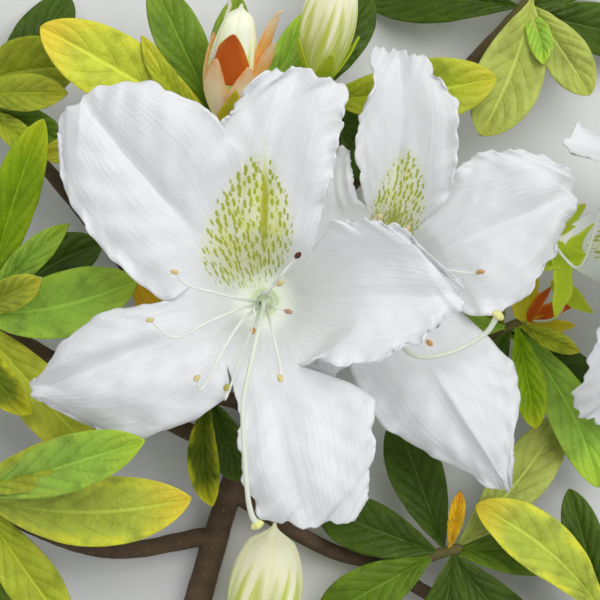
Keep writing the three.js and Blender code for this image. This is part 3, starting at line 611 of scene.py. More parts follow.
def limb_tree():
    """Round limbs along lines, as thick as their points say, with a relief of noise"""
    maker = Maker("Limb", {"Sides": 12, "Step": 0.001, "Relief": 0.0, "Relief Scale": 400.0})
    given = maker.given
    thick = maker.out("GeometryNodeInputNamedAttribute", "Attribute", {"Name": "thick"}, data_type="FLOAT")
    line = maker.out("GeometryNodeMeshToCurve", 0, {"Mesh": given["Geometry"]})
    steps = maker.out("GeometryNodeResampleCurve", 0, {"Curve": line, "Length": given["Step"]}, mode="LENGTH")
    ring = maker.out("GeometryNodeCurvePrimitiveCircle", 0, {"Resolution": given["Sides"], "Radius": 1.0})
    tube = maker.out("GeometryNodeCurveToMesh", 0, {
        "Curve": steps, "Profile Curve": ring, "Scale": thick, "Fill Caps": True,
    })
    noise = maker.out("ShaderNodeTexNoise", 0, {"Scale": given["Relief Scale"], "Detail": 3.0})
    offset = maker.out("ShaderNodeVectorMath", 0, {
        0: maker.out("GeometryNodeInputNormal"), "Scale": (noise - 0.5) * given["Relief"],
    }, operation="SCALE")
    moved = maker.out("GeometryNodeSetPosition", 0, {"Geometry": tube, "Offset": offset})
    return maker.end(maker.out("GeometryNodeSetShadeSmooth", 0, {"Geometry": moved}))


def hair_tree():
    """Fine hairs that stand on a surface and lean a little"""
    maker = Maker("Hairs", {"Density": 1000000.0, "Length": 0.001, "Width": 0.00004, "Lean": 0.6, "Seed": 1})
    given = maker.given
    spots = maker.add("GeometryNodeDistributePointsOnFaces", {
        "Mesh": given["Geometry"], "Density": given["Density"], "Seed": given["Seed"],
    }).outputs
    cone = maker.out("GeometryNodeMeshCone", 0, {
        "Vertices": 3, "Radius Bottom": given["Width"], "Depth": given["Length"],
    })
    low, high = [maker.out("ShaderNodeVectorMath", 0, {
        0: (way, way, way), "Scale": given["Lean"],
    }, operation="SCALE") for way in (-1.0, 1.0)]
    lean = maker.out("FunctionNodeRandomValue", 0, {
        0: low, 1: high, "Seed": given["Seed"],
    }, data_type="FLOAT_VECTOR")
    stand = maker.out("ShaderNodeVectorMath", 0, {
        0: Value(maker, spots["Normal"]), 1: lean,
    }, operation="ADD")
    turn = maker.out("FunctionNodeAlignRotationToVector", 0, {"Vector": stand}, axis="Z")
    return maker.end(maker.out("GeometryNodeInstanceOnPoints", 0, {
        "Points": Value(maker, spots["Points"]), "Instance": cone, "Rotation": turn,
    }))


def baked(thing, modifier):
    """The mesh that an object has with a modifier, which is then taken off"""
    graph = bpy.context.evaluated_depsgraph_get()
    mesh = bpy.data.meshes.new_from_object(thing.evaluated_get(graph), depsgraph=graph)
    thing.modifiers.remove(modifier)
    return mesh


def made_by(tree, source, name, values):
    """A plain mesh object made by a tree from a source object, whose own mesh is left as it is"""
    modifier = source.modifiers.new(tree.name, "NODES")
    modifier.node_group = tree
    for item in tree.interface.items_tree:
        if item.in_out == "INPUT" and item.name in values:
            modifier[item.identifier] = values[item.name]
    mesh = baked(source, modifier)
    mesh.name = name
    return new_object(name, mesh)


LIMB = limb_tree()
HAIRS = hair_tree()


def grow(name, lines, finish, sides, step, relief=0.0, relief_scale=400.0):
    """Limbs along lines, each given as points, radii and ages (0 is old wood, 1 is this year's growth)"""
    mesh = bpy.data.meshes.new(name + "_lines")
    edges = []
    first = 0
    for points, *_ in lines:
        edges += [(first + k, first + k + 1) for k in range(len(points) - 1)]
        first += len(points)
    points, thick, young = [np.concatenate(column) for column in zip(*lines)]
    mesh.from_pydata(((points + SHIFT) * MM).tolist(), edges, [])
    for label, column in (("thick", thick * MM), ("young", young)):
        mesh.attributes.new(label, "FLOAT", "POINT").data.foreach_set("value", column)
    source = new_object(name + "_lines", mesh)
    thing = made_by(LIMB, source, name, {
        "Sides": sides, "Step": step * MM, "Relief": relief * MM, "Relief Scale": relief_scale,
        "Material": finish,
    })
    bpy.data.objects.remove(source)
    return thing


def settle(piece, slot, *nodes):
    """Hangs a finished piece on the root body and hides the parts of the model that it stands for; slot is
    not used
    """
    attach(piece, "root")
    if nodes:
        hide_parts(*nodes)


# Materials

class Finish(Nodes):
    """A procedural material. soft, radius and scale: weight, radius and scale of its subsurface light."""

    def __init__(self, name, roughness, gloss, soft=0.0, radius=(0.001, 0.001, 0.001), scale=0.05):
        self.material = bpy.data.materials.new(name)
        self.material.use_nodes = True
        super().__init__(self.material.node_tree)
        self.shader = self.tree.nodes["Principled BSDF"]
        self.put("Roughness", roughness)
        self.put("Specular IOR Level", gloss)
        self.put("Subsurface Weight", soft)
        self.put("Subsurface Radius", radius)
        self.put("Subsurface Scale", scale)

    def put(self, label, value):
        self.feed(self.shader.inputs[label], value)

    def mix(self, share, first, second):
        colours = [(*value, 1) if isinstance(value, tuple) else value for value in (first, second)]
        return self.out("ShaderNodeMix", 2, {0: share, 6: colours[0], 7: colours[1]}, data_type="RGBA")

    def between(self, value, low, high, start=0.0, end=1.0):
        """A value that goes smoothly from start to end as another goes from low to high"""
        return self.out("ShaderNodeMapRange", 0, {
            "Value": value, "From Min": low, "From Max": high, "To Min": start, "To Max": end,
        }, interpolation_type="SMOOTHSTEP")

    def noise(self, scale, detail, place=None):
        place = place or self.out("ShaderNodeTexCoord", "Object")
        return self.out("ShaderNodeTexNoise", 0, {"Vector": place, "Scale": scale, "Detail": detail})

    def split(self, vector):
        parts = self.add("ShaderNodeSeparateXYZ", {0: vector}).outputs
        return [Value(self, part) for part in parts]

    def attribute(self, name, output="Vector"):
        return self.out("ShaderNodeAttribute", output, attribute_name=name)

    def uv(self):
        return self.split(self.out("ShaderNodeUVMap", uv_map="UVMap"))[:2]

    def vector(self, x, y):
        return self.out("ShaderNodeCombineXYZ", 0, {0: x, 1: y})

    def glow(self, colour, strength):
        self.put("Emission Color", colour)
        self.put("Emission Strength", strength)

    def bump(self, height, distance, strength):
        self.put("Normal", self.out("ShaderNodeBump", 0, {
            "Height": height, "Distance": distance, "Strength": strength,
        }))


def bark_finish():
    """Grey-brown bark with fine furrows, which turns to the green of young twigs"""
    finish = Finish("azalea_bark", 0.85, 0.25)
    coarse = finish.noise(260.0, 4.0)
    fine = finish.noise(1400.0, 3.0)
    old = finish.mix(coarse, (0.045, 0.026, 0.014), (0.17, 0.115, 0.07))
    old = finish.mix(finish.between(fine, 0.62, 0.72, 0.0, 0.7), old, (0.26, 0.2, 0.13))
    green = finish.mix(coarse, (0.12, 0.14, 0.035), (0.22, 0.16, 0.06))
    young = finish.between(finish.attribute("young", "Fac"), 0.2, 1.0)
    finish.put("Base Color", finish.mix(young, old, green))
    finish.bump(coarse + fine * 0.4, 0.0005, 0.8)
    return finish.material


def speckles(finish, mark):
    """Oval dashes, one to a square of the bloom's own coordinates, which grow where the mark is strong"""
    across, lengthwise = finish.split(finish.attribute("dashes"))[:2]
    wobble = (finish.noise(1300.0, 2.0) - 0.5) * 0.6
    cells = finish.vector(across + wobble, lengthwise + wobble)
    spots = finish.add("ShaderNodeTexVoronoi", {"Vector": cells, "Scale": 1.0, "Randomness": 0.8},
                       voronoi_dimensions="2D").outputs
    middle = Value(finish, spots["Position"])
    apart = finish.split(finish.out("ShaderNodeVectorMath", 0, {0: cells, 1: middle}, operation="SUBTRACT"))
    half_width, half_length = DASH_HALVES
    oval = finish.calc("SQRT", abs(apart[0] / half_width) ** 2.0 + abs(apart[1] / half_length) ** 2.0)
    chance = finish.split(Value(finish, spots["Color"]))[0]
    grown = finish.between(chance, 0.0, 0.45, 0.45, 1.15) * finish.between(mark, 0.05, 0.5)
    return finish.between(grown - oval, -0.1, 0.3)


def petal_finish():
    """Cool white petal with faint branching veins, a green throat and yellow-green speckles. The throat has a
    faint painted glow, which stands in for the light that the thin tube lets through."""
    finish = Finish("azalea_petal", 0.5, 0.25, 0.6, (0.0009, 0.00095, 0.0008), 1.0)
    u, v = finish.uv()
    wander = (finish.noise(90.0, 2.0) - 0.5) * 0.05
    lines = finish.vector((finish.calc("FRACT", u * 5.0) + wander) * 26.0, v * 2.2)
    vein = finish.between(abs(finish.noise(1.0, 2.0, lines) - 0.5), 0.0, 0.06, 1.0, 0.0)
    white = finish.mix(finish.noise(60.0, 2.0), (0.8, 0.82, 0.83), (0.86, 0.87, 0.88))
    veined = finish.mix(vein * 0.09, white, (0.66, 0.7, 0.62))
    mark, streak_mark, reach = finish.split(finish.attribute("bloom"))
    throat = finish.mix(finish.between(reach, 1.4, 3.4, 0.9, 0.0), veined, (0.45, 0.56, 0.1))
    cloud = finish.noise(330.0, 3.0)
    haze = mark * finish.between(cloud, 0.25, 0.75, 0.34, 0.85)
    haze = finish.calc("MAXIMUM", haze, finish.between(streak_mark, 0.01, 0.5, 0.0, 0.6))
    hazed = finish.mix(haze, throat, (0.66, 0.7, 0.16))
    streak = finish.between(streak_mark, 0.3, 0.85) * finish.between(cloud, 0.1, 0.6, 0.7, 1.0)
    hazed = finish.mix(streak * 0.9, hazed, (0.42, 0.42, 0.02))
    finish.put("Base Color", finish.mix(speckles(finish, mark) * 0.92, hazed, (0.4, 0.45, 0.01)))
    # Painted glow: the throat glows green at its floor and paler further out, fading by 7.5 mm from the
    # middle
    painted_glow = finish.mix(finish.between(reach, 1.6, 3.2), (0.3, 0.5, 0.01), (0.8, 0.84, 0.72))
    finish.glow(painted_glow, finish.between(reach, 2.0, 7.5, 0.4, 0.0))
    finish.bump(vein * 0.35 + finish.noise(420.0, 4.0), 0.0003, 0.5)
    return finish.material


def leaf_finish(name, blade, margin, tip):
    """Satin leaf with a pale midrib, and side veins and a fine net painted darker as shade in their grooves
    """
    finish = Finish("leaf_" + name, 0.5, 0.22, 0.2, (0.0004, 0.0006, 0.0001), 1.0)
    u, v = finish.uv()
    side = abs(u * 2.0 - 1.0)
    wave = finish.calc("PINGPONG", (v - side ** 1.2 * 0.3) * 7.0, 0.5)
    vein = finish.between(wave, 0.0, 0.1, 1.0, 0.0) * finish.between(side, 0.5, 1.0, 1.0, 0.2)
    midrib = finish.between(side, 0.02, 0.1, 1.0, 0.0)
    mottle = finish.noise(200.0, 4.0)
    fine = finish.noise(1500.0, 3.0)
    cells = finish.out("ShaderNodeTexVoronoi", "Distance", {
        "Vector": finish.out("ShaderNodeTexCoord", "Object"), "Scale": 620.0,
    }, feature="DISTANCE_TO_EDGE")
    veinlets = finish.between(cells, 0.0, 0.4, 1.0, 0.0)
    deep = tuple(0.6 * c for c in blade)
    light = tuple(min(1.0, 1.35 * c + 0.03) for c in blade)
    colour = finish.mix(finish.between(mottle, 0.2, 0.6), deep, blade)
    # Painted shade: the side veins and the fine net are darkened, as if shaded in their grooves
    colour = finish.mix(finish.calc("MAXIMUM", vein, veinlets) * 0.14, colour, deep)
    patch = finish.between(side, 0.5, 0.95) * finish.between(mottle, 0.35, 0.65)
    colour = finish.mix(patch, colour, margin)
    colour = finish.mix(finish.between(v, 0.72, 1.0, 0.0, 0.9), colour, tip)
    colour = finish.mix(finish.between(side, 0.92, 1.0, 0.0, 0.6), colour, margin)
    finish.put("Base Color", finish.mix(midrib * 0.6, colour, light))
    finish.put("Roughness", finish.between(fine, 0.3, 0.7, 0.38, 0.6))
    grooves = finish.calc("MAXIMUM", vein, midrib) * 0.5 + veinlets * 0.4
    finish.bump(fine * 0.4 - grooves, 0.0003, 0.7)
    return finish.material


def bract_finish(name, body, edge, tip):
    """Dry scale or bract, with its own colours at the edges and the tip, fine lengthwise lines and a faint
    painted glow
    """
    finish = Finish("bract_" + name, 0.6, 0.3, 0.35, (0.0016, 0.001, 0.0004), 1.0)
    u, v = finish.uv()
    patches = finish.noise(350.0, 4.0)
    colour = finish.mix(finish.between(abs(u * 2.0 - 1.0), 0.45, 1.0) * patches, body, edge)
    colour = finish.mix(finish.between(v, 0.5, 1.0) * patches, colour, tip)
    streaks = finish.noise(1.0, 2.0, finish.vector(u * 30.0, v * 3.0))
    dim = tuple(0.7 * c for c in body)
    colour = finish.mix(finish.between(streaks, 0.5, 0.8, 0.0, 0.6), colour, dim)
    finish.put("Base Color", colour)
    # Painted glow in the bract's own colour, standing in for light that shows through it
    finish.glow(colour, BRACT_GLOW)
    finish.bump(streaks + patches * 0.5, 0.00025, 0.8)
    return finish.material


def bud_petal_finish(name, top, foot):
    """Folded petals of a bud, green at the foot and along the folds, with a faint painted glow for the light
    through them
    """
    finish = Finish("bud_petal_" + name, 0.5, 0.3, 0.5, (0.002, 0.002, 0.0012), 1.0)
    u, v = finish.uv()
    streaks = finish.noise(1.0, 2.0, finish.vector(u * 9.0, v * 1.2))
    shifted = v + (streaks - 0.5) * -1.6
    share = finish.between(shifted, 0.3, 0.75, 0.9, 0.0) + finish.between(streaks, 0.55, 0.8, 0.0, 0.4)
    colour = finish.mix(finish.calc("MINIMUM", share, 1.0), top, foot)
    finish.put("Base Color", colour)
    # Painted glow in the petals' own colour
    finish.glow(colour, BUD_GLOW)
    finish.bump(streaks, 0.0003, 0.6)
    return finish.material


def mottled_finish(name, dark, light, grain, relief, soft):
    """Small soft part in two mottled colours. grain: scale and detail of the mottling. relief: scale, depth
    and strength of the bumps. soft: roughness, then weight and radius of the light that spreads inside it."""
    roughness, weight, radius = soft
    finish = Finish(name, roughness, 0.3, weight, radius)
    finish.put("Base Color", finish.mix(finish.noise(*grain), dark, light))
    scale, depth, strength = relief
    finish.bump(finish.noise(scale, 2.0), depth, strength)
    return finish.material


def plain_finish(name, light, dark, roughness=0.5):
    return mottled_finish(name, dark, light, (900.0, 3.0), (2500.0, 0.0001, 0.6),
                          (roughness, 0.15, (0.0008, 0.0008, 0.0005)))


BARK = bark_finish()
STALK = mottled_finish("stalk_green", (0.4, 0.5, 0.03), (0.5, 0.5, 0.06), (180.0, 3.0), (1500.0, 0.0002, 0.5),
                       (0.6, 0.15, (0.001, 0.0012, 0.0004)))
PETAL = petal_finish()
LEAVES = {name: leaf_finish(name, *tints) for name, tints in LEAF_TINTS.items()}
UNDERSIDE = mottled_finish("leaf_underside", (0.2, 0.27, 0.07), (0.29, 0.35, 0.11), (260.0, 3.0),
                           (1200.0, 0.0002, 0.5), (0.65, 0.12, (0.0008, 0.0012, 0.0003)))
FILAMENT_WHITE = plain_finish("filament_white", (0.88, 0.9, 0.84), (0.8, 0.83, 0.72))
STYLE_GREEN = plain_finish("style_pale_green", (0.82, 0.85, 0.76), (0.72, 0.77, 0.6))
STIGMA_YELLOW = plain_finish("stigma_yellow_green", (0.9, 0.88, 0.4), (0.74, 0.74, 0.22))
HAIR = plain_finish("fine_hair", (0.7, 0.66, 0.45), (0.55, 0.5, 0.3))
ANTHERS = {name: plain_finish("anther_" + name, *tints, 0.7) for name, tints in ANTHER_TINTS.items()}
BRACTS = {name: bract_finish(name, *tints) for name, tints in BRACT_TINTS.items()}
BUD_PETALS = {name: bud_petal_finish(name, *tints) for name, tints in BUD_TINTS.items()}


# Wood: the main stem and the boughs, each with its green twig

def limb_line(points, radii, ages=((0, 1), (1, 1)), steps=120):
    """A line along a curve, with radii and ages given at shares of its length"""
    shares = np.linspace(0, 1, steps)
    thick = np.interp(shares, *zip(*radii))
    return even(points, shares), thick, np.interp(shares, *zip(*ages))


def make_wood():
    line = limb_line(MAIN_STEM, [(0, STEM_CUT), (1, STEM_TOP)], [(0, 0), (1, 0.2)])
    settle(grow("main_stem_bark", [line], BARK, 20, 0.7, 0.7, 220.0), "bark", "main_stem")
    for name, (parent, path) in BOUGHS.items():
        root = BOUGH_ROOT * (1 if parent == "main_stem" else SIDE_BRANCH)
        radii = [(0, root), (BOUGH_SHARE, BOUGH_END), (0.985, TWIG_END), (1, 0.3)]
        line = limb_line(path, radii, [(0, 0), (0.5, 0.15), (BOUGH_SHARE, 0.5), (1, 1)])
        settle(grow(name + "_bark", [line], BARK, 14, 0.6, 0.45, 320.0), "bark", name + "_bough")


# Corollas

def on_tube(rim, turn, q):
    """Points of a bloom's tube, from its floor (q = 0) to its rim (q = 1)"""
    return polar(turn, TUBE_BASE + (rim - TUBE_BASE) * (0.35 * q + 0.65 * q ** 2), -TUBE_LENGTH * (1 - q))


def wave(x, y, phase):
    return (np.sin(0.55 * x + 0.31 * y + phase) + 0.7 * np.sin(-0.33 * x + 0.62 * y + 1.7 * phase + 1)
            + 0.5 * np.sin(1.1 * x - 0.9 * y + 2.3 * phase))


def crinkle(x, seed):
    """A line of waves of several lengths, for a margin"""
    long_waves = np.sin(1.3 * x + seed) + 0.5 * np.sin(2.9 * x + 2.1 * seed + 1)
    return long_waves + 0.2 * np.sin(5.3 * x + 0.7 * seed)


def seam_turn(lobe, after):
    """The turn at which a lobe and the next one leave the rim"""
    return after.get("seam", lobe["turn"] + ((after["turn"] - lobe["turn"]) % 360) / 2)


def ways_of(lobe):
    """The ways outwards along a lobe's middle and aside to its left"""
    return polar(lobe["turn"], 1, 0), polar(lobe["turn"] + 90, 1, 0)


def guide(lobe, rim, turn, half_widths, lift, back):
    """Points that lead the middle or an edge of a lobe from inside the tube to the tip"""
    out, aside = ways_of(lobe)
    points = [on_tube(rim, turn, 0.75), on_tube(rim, turn, 1)]
    for i, half_width in enumerate(half_widths):
        share = (i + 1) / 4
        lifted = 4 * share * (1 - share) * lift[0] + share * (2 * share - 1) * lift[1]
        trail = back[0] * (1 - share) + back[1] * share
        point = out * (rim + (lobe["reach"] - rim) * share - trail)
        point = point + aside * (lobe["bow"] * share ** 2 + half_width)
        points.append(point + np.array([0, 0, lobe["rise"][i] + lifted]))
    return points


def lobe_grid(lobes, n, rim, s, t):
    """Points of one lobe, with s from the rim (0) to the tip (1) and t from right (-1) to left (1)"""
    lobe = lobes[n]
    turn = lobe["turn"]
    to_left = (seam_turn(lobe, lobes[(n + 1) % len(lobes)]) - turn) % 360
    to_right = (turn - seam_turn(lobes[n - 1], lobe)) % 360
    turns = [turn + to_left, turn, turn - to_right]
    guides = [
        guide(lobe, rim, turns[0], lobe["left"], lobe["lift"][0], lobe["back"][0]),
        guide(lobe, rim, turns[1], [0, 0, 0, 0], [0, 0], [0, 0]),
        guide(lobe, rim, turns[2], [-width for width in lobe["right"]], lobe["lift"][1], lobe["back"][1]),
    ]
    shares = [t * (t + 1) / 2, 1 - t * t, t * (t - 1) / 2]
    p = sum(share[..., None] * along(curve, (1 + 4 * s) / 5) for share, curve in zip(shares, guides))
    flat = sum(share[..., None] * on_tube(rim, deg, 1) for share, deg in zip(shares, turns))
    rim_turn = turn + t * np.where(t > 0, to_left, to_right)
    p += (on_tube(rim, rim_turn, 1) - flat) * np.maximum(0, 1 - 4 * s)[..., None]
    away = smoothstep(s, 0, 0.3)
    groove = 0.9 * np.exp(-((t / 0.2) ** 2))
    ruffle = 0.55 * np.maximum(np.abs(t), s) ** 4 * wave(p[..., 0], p[..., 1], turn)
    p[..., 2] += away * (0.45 - groove + ruffle)
    return p, away, rim_turn


def petal_relief(p, s, t, away, lobe, seed):
    """Finer waves, a crease along the midrib, ripples along the side veins and a ragged, crimped margin"""
    side = np.abs(t)
    spot = 34 * s + 12 * t
    margin = np.maximum(side, smoothstep(s, 0, 1) ** 2) ** 8
    crease = lobe["fold"] * (0.55 * np.sin(math.pi * np.minimum(1, side * 1.15)) - np.exp(-side / 0.11))
    crease = crease * smoothstep(s, 0.05, 0.4) * (1 - 0.55 * smoothstep(s, 0.6, 1))
    bent = t + 0.12 * np.sin(4 * s + seed)
    long_folds = 0.42 * np.sin(2 * math.pi * 1.4 * bent + seed) * np.sin(math.pi * s) ** 0.7
    sway = 0.35 * np.sin(7 * s + 2 * seed)
    ripples = lobe["veins"] * np.sin(2 * math.pi * 5.5 * (s - 0.5 * side) + sway + seed) * side ** 0.6
    cross = 0.3 * np.sin(2 * math.pi * 1.3 * s + 2.5 * t + 2 * seed)
    puckers = 0.5 * lobe["veins"] * np.sin(31 * s + 5 * bent + seed) * np.sin(9 * bent - 4 * s + 2 * seed)
    inner = (1 - margin) * (long_folds + ripples + cross + puckers)
    crimps = lobe["crimp"] * 0.5 * margin * crinkle(0.52 * spot, seed)
    p[..., 2] += away * (crease + (inner + crimps))
    out, aside = ways_of(lobe)
    pull = out * (smoothstep(s, 0.5, 1) ** 2)[..., None] + aside * (np.sign(t) * side ** 6)[..., None]
    uneven = 0.06 + 0.16 * lobe["crimp"] + 0.2 * smoothstep(s, 0.75, 1)
    ragged = away * uneven * margin * (crinkle(0.5 * spot + 2, 1.7 * seed) - 0.3)
    return p + pull * ragged[..., None]


def corolla_points(bloom, n):
    """Grid of one lobe with its strip of the tube, in the bloom's own frame"""
    rim, lobes = bloom["rim"], bloom["lobes"]
    t = np.linspace(-1, 1, LOBE_COLS)
    lower = np.linspace(-1, 0, TUBE_ROWS, endpoint=False)
    upper = np.linspace(0, 1, LOBE_ROWS) ** 0.94
    s_grid, t_grid = np.meshgrid(upper, t, indexing="ij")
    rounded_s = s_grid * (1 - 0.075 * np.abs(t_grid) ** 7 * s_grid ** 2)
    rounded_t = t_grid * (1 - 0.06 * s_grid ** 9 * np.abs(t_grid) ** 2)
    p, away, rim_turn = lobe_grid(lobes, n, rim, rounded_s, rounded_t)
    p = petal_relief(p, s_grid, t_grid, away, lobes[n], 1.3 * n + 0.1 * rim)
    tube = on_tube(rim, rim_turn[0], 1 + lower[:, None])
    return np.concatenate([tube, p]), np.concatenate([lower, upper]), t


def blotch_at(bloom, n, points):
    """How strongly the speckles and the streak show, from 0 to 1"""
    def far(x, y, wide, high):
        beyond = points[..., 1] - y
        narrowed = wide * (1 - BLOTCH_TAPER * np.clip(beyond, -high, high))
        lean = BLOTCH_LEAN * beyond * wide / bloom["blotch"][2]
        return np.hypot((points[..., 0] - x - lean) / narrowed, beyond / high)

    patch = 1 - smoothstep(far(*bloom["blotch"]), 0.5, 1.1)
    return bloom["share"][n] * patch, bloom["share"][n] * np.exp(-far(*bloom["streak"]) ** 2)


def dashes_at(bloom, points):
    """Coordinates in which the speckles lie one to a square, on lines that fan out through the blotch"""
    middle = unit(bloom["blotch"][:2])
    outward = points[..., :2] @ middle + DASH_FAN
    across = points[..., :2] @ np.array([middle[1], -middle[0]])
    spread = DASH_FAN + np.linalg.norm(bloom["blotch"][:2])
    return np.stack([np.arctan2(across, outward) * spread, np.hypot(across, outward)], -1) * bloom["fine"]


def close_tube(mesh, floor):
    """Joins the lobes of a corolla and closes its tube at the floor, whose middle is given in metres"""
    solid = bmesh.new()
    solid.from_mesh(mesh)
    bmesh.ops.remove_doubles(solid, verts=solid.verts, dist=0.002 * MM)
    ring = [edge for edge in solid.edges if edge.is_boundary and all(
        np.linalg.norm(np.array(vert.co) - floor) < 1.2 * TUBE_BASE * MM for vert in edge.verts)]
    bmesh.ops.contextual_create(solid, geom=ring)
    bmesh.ops.recalc_face_normals(solid, faces=solid.faces)
    solid.to_mesh(mesh)
    solid.free()


def make_corolla(name, bloom):
    """The petals as one surface from the bottom of the tube to the tips, then given a wall"""
    shape = Shape()
    to_branch = placer(bloom["at"], bloom["axis"])
    count = len(bloom["lobes"])
    for n in range(count):
        grid, s, t = corolla_points(bloom, n)
        reach = np.hypot(grid[..., 0], grid[..., 1])
        marks = np.stack([*blotch_at(bloom, n, grid), reach], -1)
        data = np.concatenate([marks, dashes_at(bloom, grid)], -1)
        u = (n + 0.002 + 0.996 * (t + 1) / 2) / count
        uvs = np.stack(np.broadcast_arrays(u, ((s + 1) / 2)[:, None]), -1)
        faces = quads_of(*reach.shape)
        shape.add(to_branch(grid.reshape(-1, 3)), faces, 0, uvs.reshape(-1, 2), data.reshape(-1, 5))
    piece = shape.make(name + "_petals", [PETAL], ["bloom", "dashes"])
    close_tube(piece.data, (to_branch([0, 0, -TUBE_LENGTH]) + SHIFT) * MM)
    wall = piece.modifiers.new("Wall", "SOLIDIFY")
    wall.thickness = PETAL_THICK * MM
    wall.offset = -1
    piece.data = baked(piece, wall)
    settle(piece, "petal", name + "_corolla")


# Stamens and pistils

def anther_form(p):
    """Two lobes side by side, on the unit sphere"""
    pinch = 1 - 0.35 * np.exp(-((p[:, 0] / 0.28) ** 2))
    return p * np.stack([np.ones(len(p)), pinch, np.ones(len(p))], -1)


def make_stamens(name, bloom):
    to_branch = placer(bloom["at"], bloom["axis"])
    lines = []
    heads = Shape()
    tints = list(ANTHERS)
    for root, turn, reach, height, last, end, tint in FILAMENTS[name]:
        tip = polar(last, end, height + 1.3)
        path = [polar(root, FILAMENT_ROOTS, TUBE_FLOOR + 0.5), polar(root, FILAMENT_ROOTS, TUBE_FLOOR + 9),
                polar(root, 1.5 + 0.22 * (reach - 1.5), -1 + 0.2 * height),
                polar((root + 2 * turn) / 3, 0.62 * reach, 0.8 * height), polar(turn, reach, height), tip]
        lines.append(limb_line(to_branch(path), [(0, FILAMENT), (1, 0.6 * FILAMENT)], steps=60))
        lean = to_branch(polar(last, 0.8, 0.6)) - to_branch([0, 0, 0])
        add_ball(heads, placer(to_branch(tip), lean), ANTHER, tints.index(tint), *ANTHER_NET, anther_form)
    ring = polar(np.linspace(0, 360, RING_STEPS), STAMEN_RING, TUBE_FLOOR + 0.1)
    lines.append((to_branch(ring), np.full(RING_STEPS, 0.3), np.ones(RING_STEPS)))
    filaments = grow(name + "_filaments", lines, FILAMENT_WHITE, 8, 0.5)
    anthers = heads.make(name + "_anthers", [ANTHERS[tint] for tint in tints])
    settle(filaments, "stamen", name + "_stamens")
    settle(anthers, "stamen")


def stigma_form(p):
    """A flat knob with five soft lobes, on the unit sphere"""
    angle = np.arctan2(p[:, 1], p[:, 0])
    swell = 1 + 0.14 * np.cos(5 * angle) * (1 - p[:, 2] ** 2)
    dent = 1 - 0.25 * np.exp(-(p[:, 0] ** 2 + p[:, 1] ** 2) / 0.12)
    return p * np.stack([swell, swell, dent], -1)


def make_pistil(name, bloom):
    to_branch = placer(bloom["at"], bloom["axis"])
    path = to_branch([*([0, 0, TUBE_FLOOR + up] for up in (0, 8, 13)), *STYLES[name]])
    radii = [(0, OVARY), (0.06, 1.0), (0.14, STYLE), (0.9, STYLE), (1, 1.3 * STYLE)]
    style = grow(name + "_style", [limb_line(path, radii)], STYLE_GREEN, 12, 0.5)
    knob = Shape()
    add_ball(knob, placer(path[-1], path[-1] - path[-2]), STIGMA, 0, *STIGMA_NET, stigma_form)
    settle(style, "pistil", name + "_pistil")
    settle(knob.make(name + "_stigma", [STIGMA_YELLOW]), "pistil")


# Calyxes

def add_hairs(name, surface, slot, density, length, width, seed):
    """Fine hairs on a surface, as a piece of their own, so many to a square millimetre"""
    settle(made_by(HAIRS, surface, name, {
        "Density": density / MM ** 2, "Length": length * MM, "Width": width * MM, "Seed": seed,
        "Material": HAIR,
    }), slot)


def add_sepals(shape, to_branch, size):
    """Five sepals round the foot of the tube, of which every other one keeps close to it"""
    s, t, uvs = net(*SEPAL_NET)
    half = 1.6 * (1 - s) ** 0.7 * (1 + 1.5 * s) * size + 0.08
    for n in range(5):
        lean = 0.6 if n % 2 else size
        out = 2.45 + 3.2 * lean * s + 2.2 * lean * s ** 2 - 0.5 * t ** 2 * (1 - s)
        height = CALYX_TOP - 1.3 + 8.5 * s * (1.25 - 0.4 * lean) * size
        grid = polar(72 * n + 54, out, height) + polar(72 * n + 144, 1, 0) * (t * half)[..., None]
        add_sheet(shape, to_branch(grid), SCALE_THICK, uvs)


def add_scales(shape, base, blades):
    """Scales and spent sepals that spread from one base"""
    tints = list(BRACTS)
    s, t, uvs = net(*SCALE_NET)
    for turn, length, half_width, lift, tint in blades:
        uneven = 1 + 0.14 * np.sin(11 * s + turn + t)
        half = half_width * np.sin(math.pi * s ** 0.75) ** 0.9 * uneven + 0.12
        sway = 0.05 * length * np.sin(math.pi * s) * math.cos(turn)
        middle = base + polar(turn, length * s, lift * s ** 1.3 + 0.8 + 0.3 * half * t ** 2)
        grid = middle + polar(turn + 90, 1, 0) * (t * half + sway)[..., None]
        slot = 1 + tints.index(tint)
        add_sheet(shape, grid, SCALE_THICK, uvs, slot, slot)


def make_calyx(name, bloom):
    """A hairy calyx on its stalk, with what a dropped bloom has left beside it"""
    to_branch = placer(bloom["at"], bloom["axis"])
    cup = [to_branch([0, 0, CALYX_TOP - below]) for below in (3.6, 2.6, 1.2, 0)]
    lines = [
        limb_line([cup[0], *STALKS[name]], [(0, PEDICEL), (1, PEDICEL)]),
        limb_line(cup, CALYX_CUP, steps=30),
    ]
    body = grow(name + "_calyx_cup", lines, STALK, 16, 0.4, 0.1, 500.0)
    sepals = Shape()
    add_sepals(sepals, to_branch, SEPALS[name])
    for base, blades in SCALES.get(name, []):
        add_scales(sepals, base, blades)
    leafy = sepals.make(name + "_sepals", [BRACTS["leaf_green"], *BRACTS.values()])
    for n, way in enumerate(OLD_STYLES.get(name, [])):
        line = limb_line(way, [(0, OLD_STYLE), (1, OLD_STYLE - 0.05)])
        settle(grow(f"{name}_old_style_{n}", [line], STYLE_GREEN, 8, 0.5), "calyx")
    settle(body, "calyx", name + "_calyx")
    settle(leafy, "calyx")
    add_hairs(name + "_calyx_hairs", body, "calyx", density=2.5, length=1.1, width=0.035, seed=5)


# Buds

def bud_swell(bud, s):
    """Radius of a bud at a share of its height"""
    peak = bud["peak"]
    turn = np.where(s < peak, s / peak - 1, (s - peak) / (1 - peak))
    return 0.8 + (bud["radius"] - 0.8) * np.maximum(0, np.cos(math.pi / 2 * turn)) ** 0.85


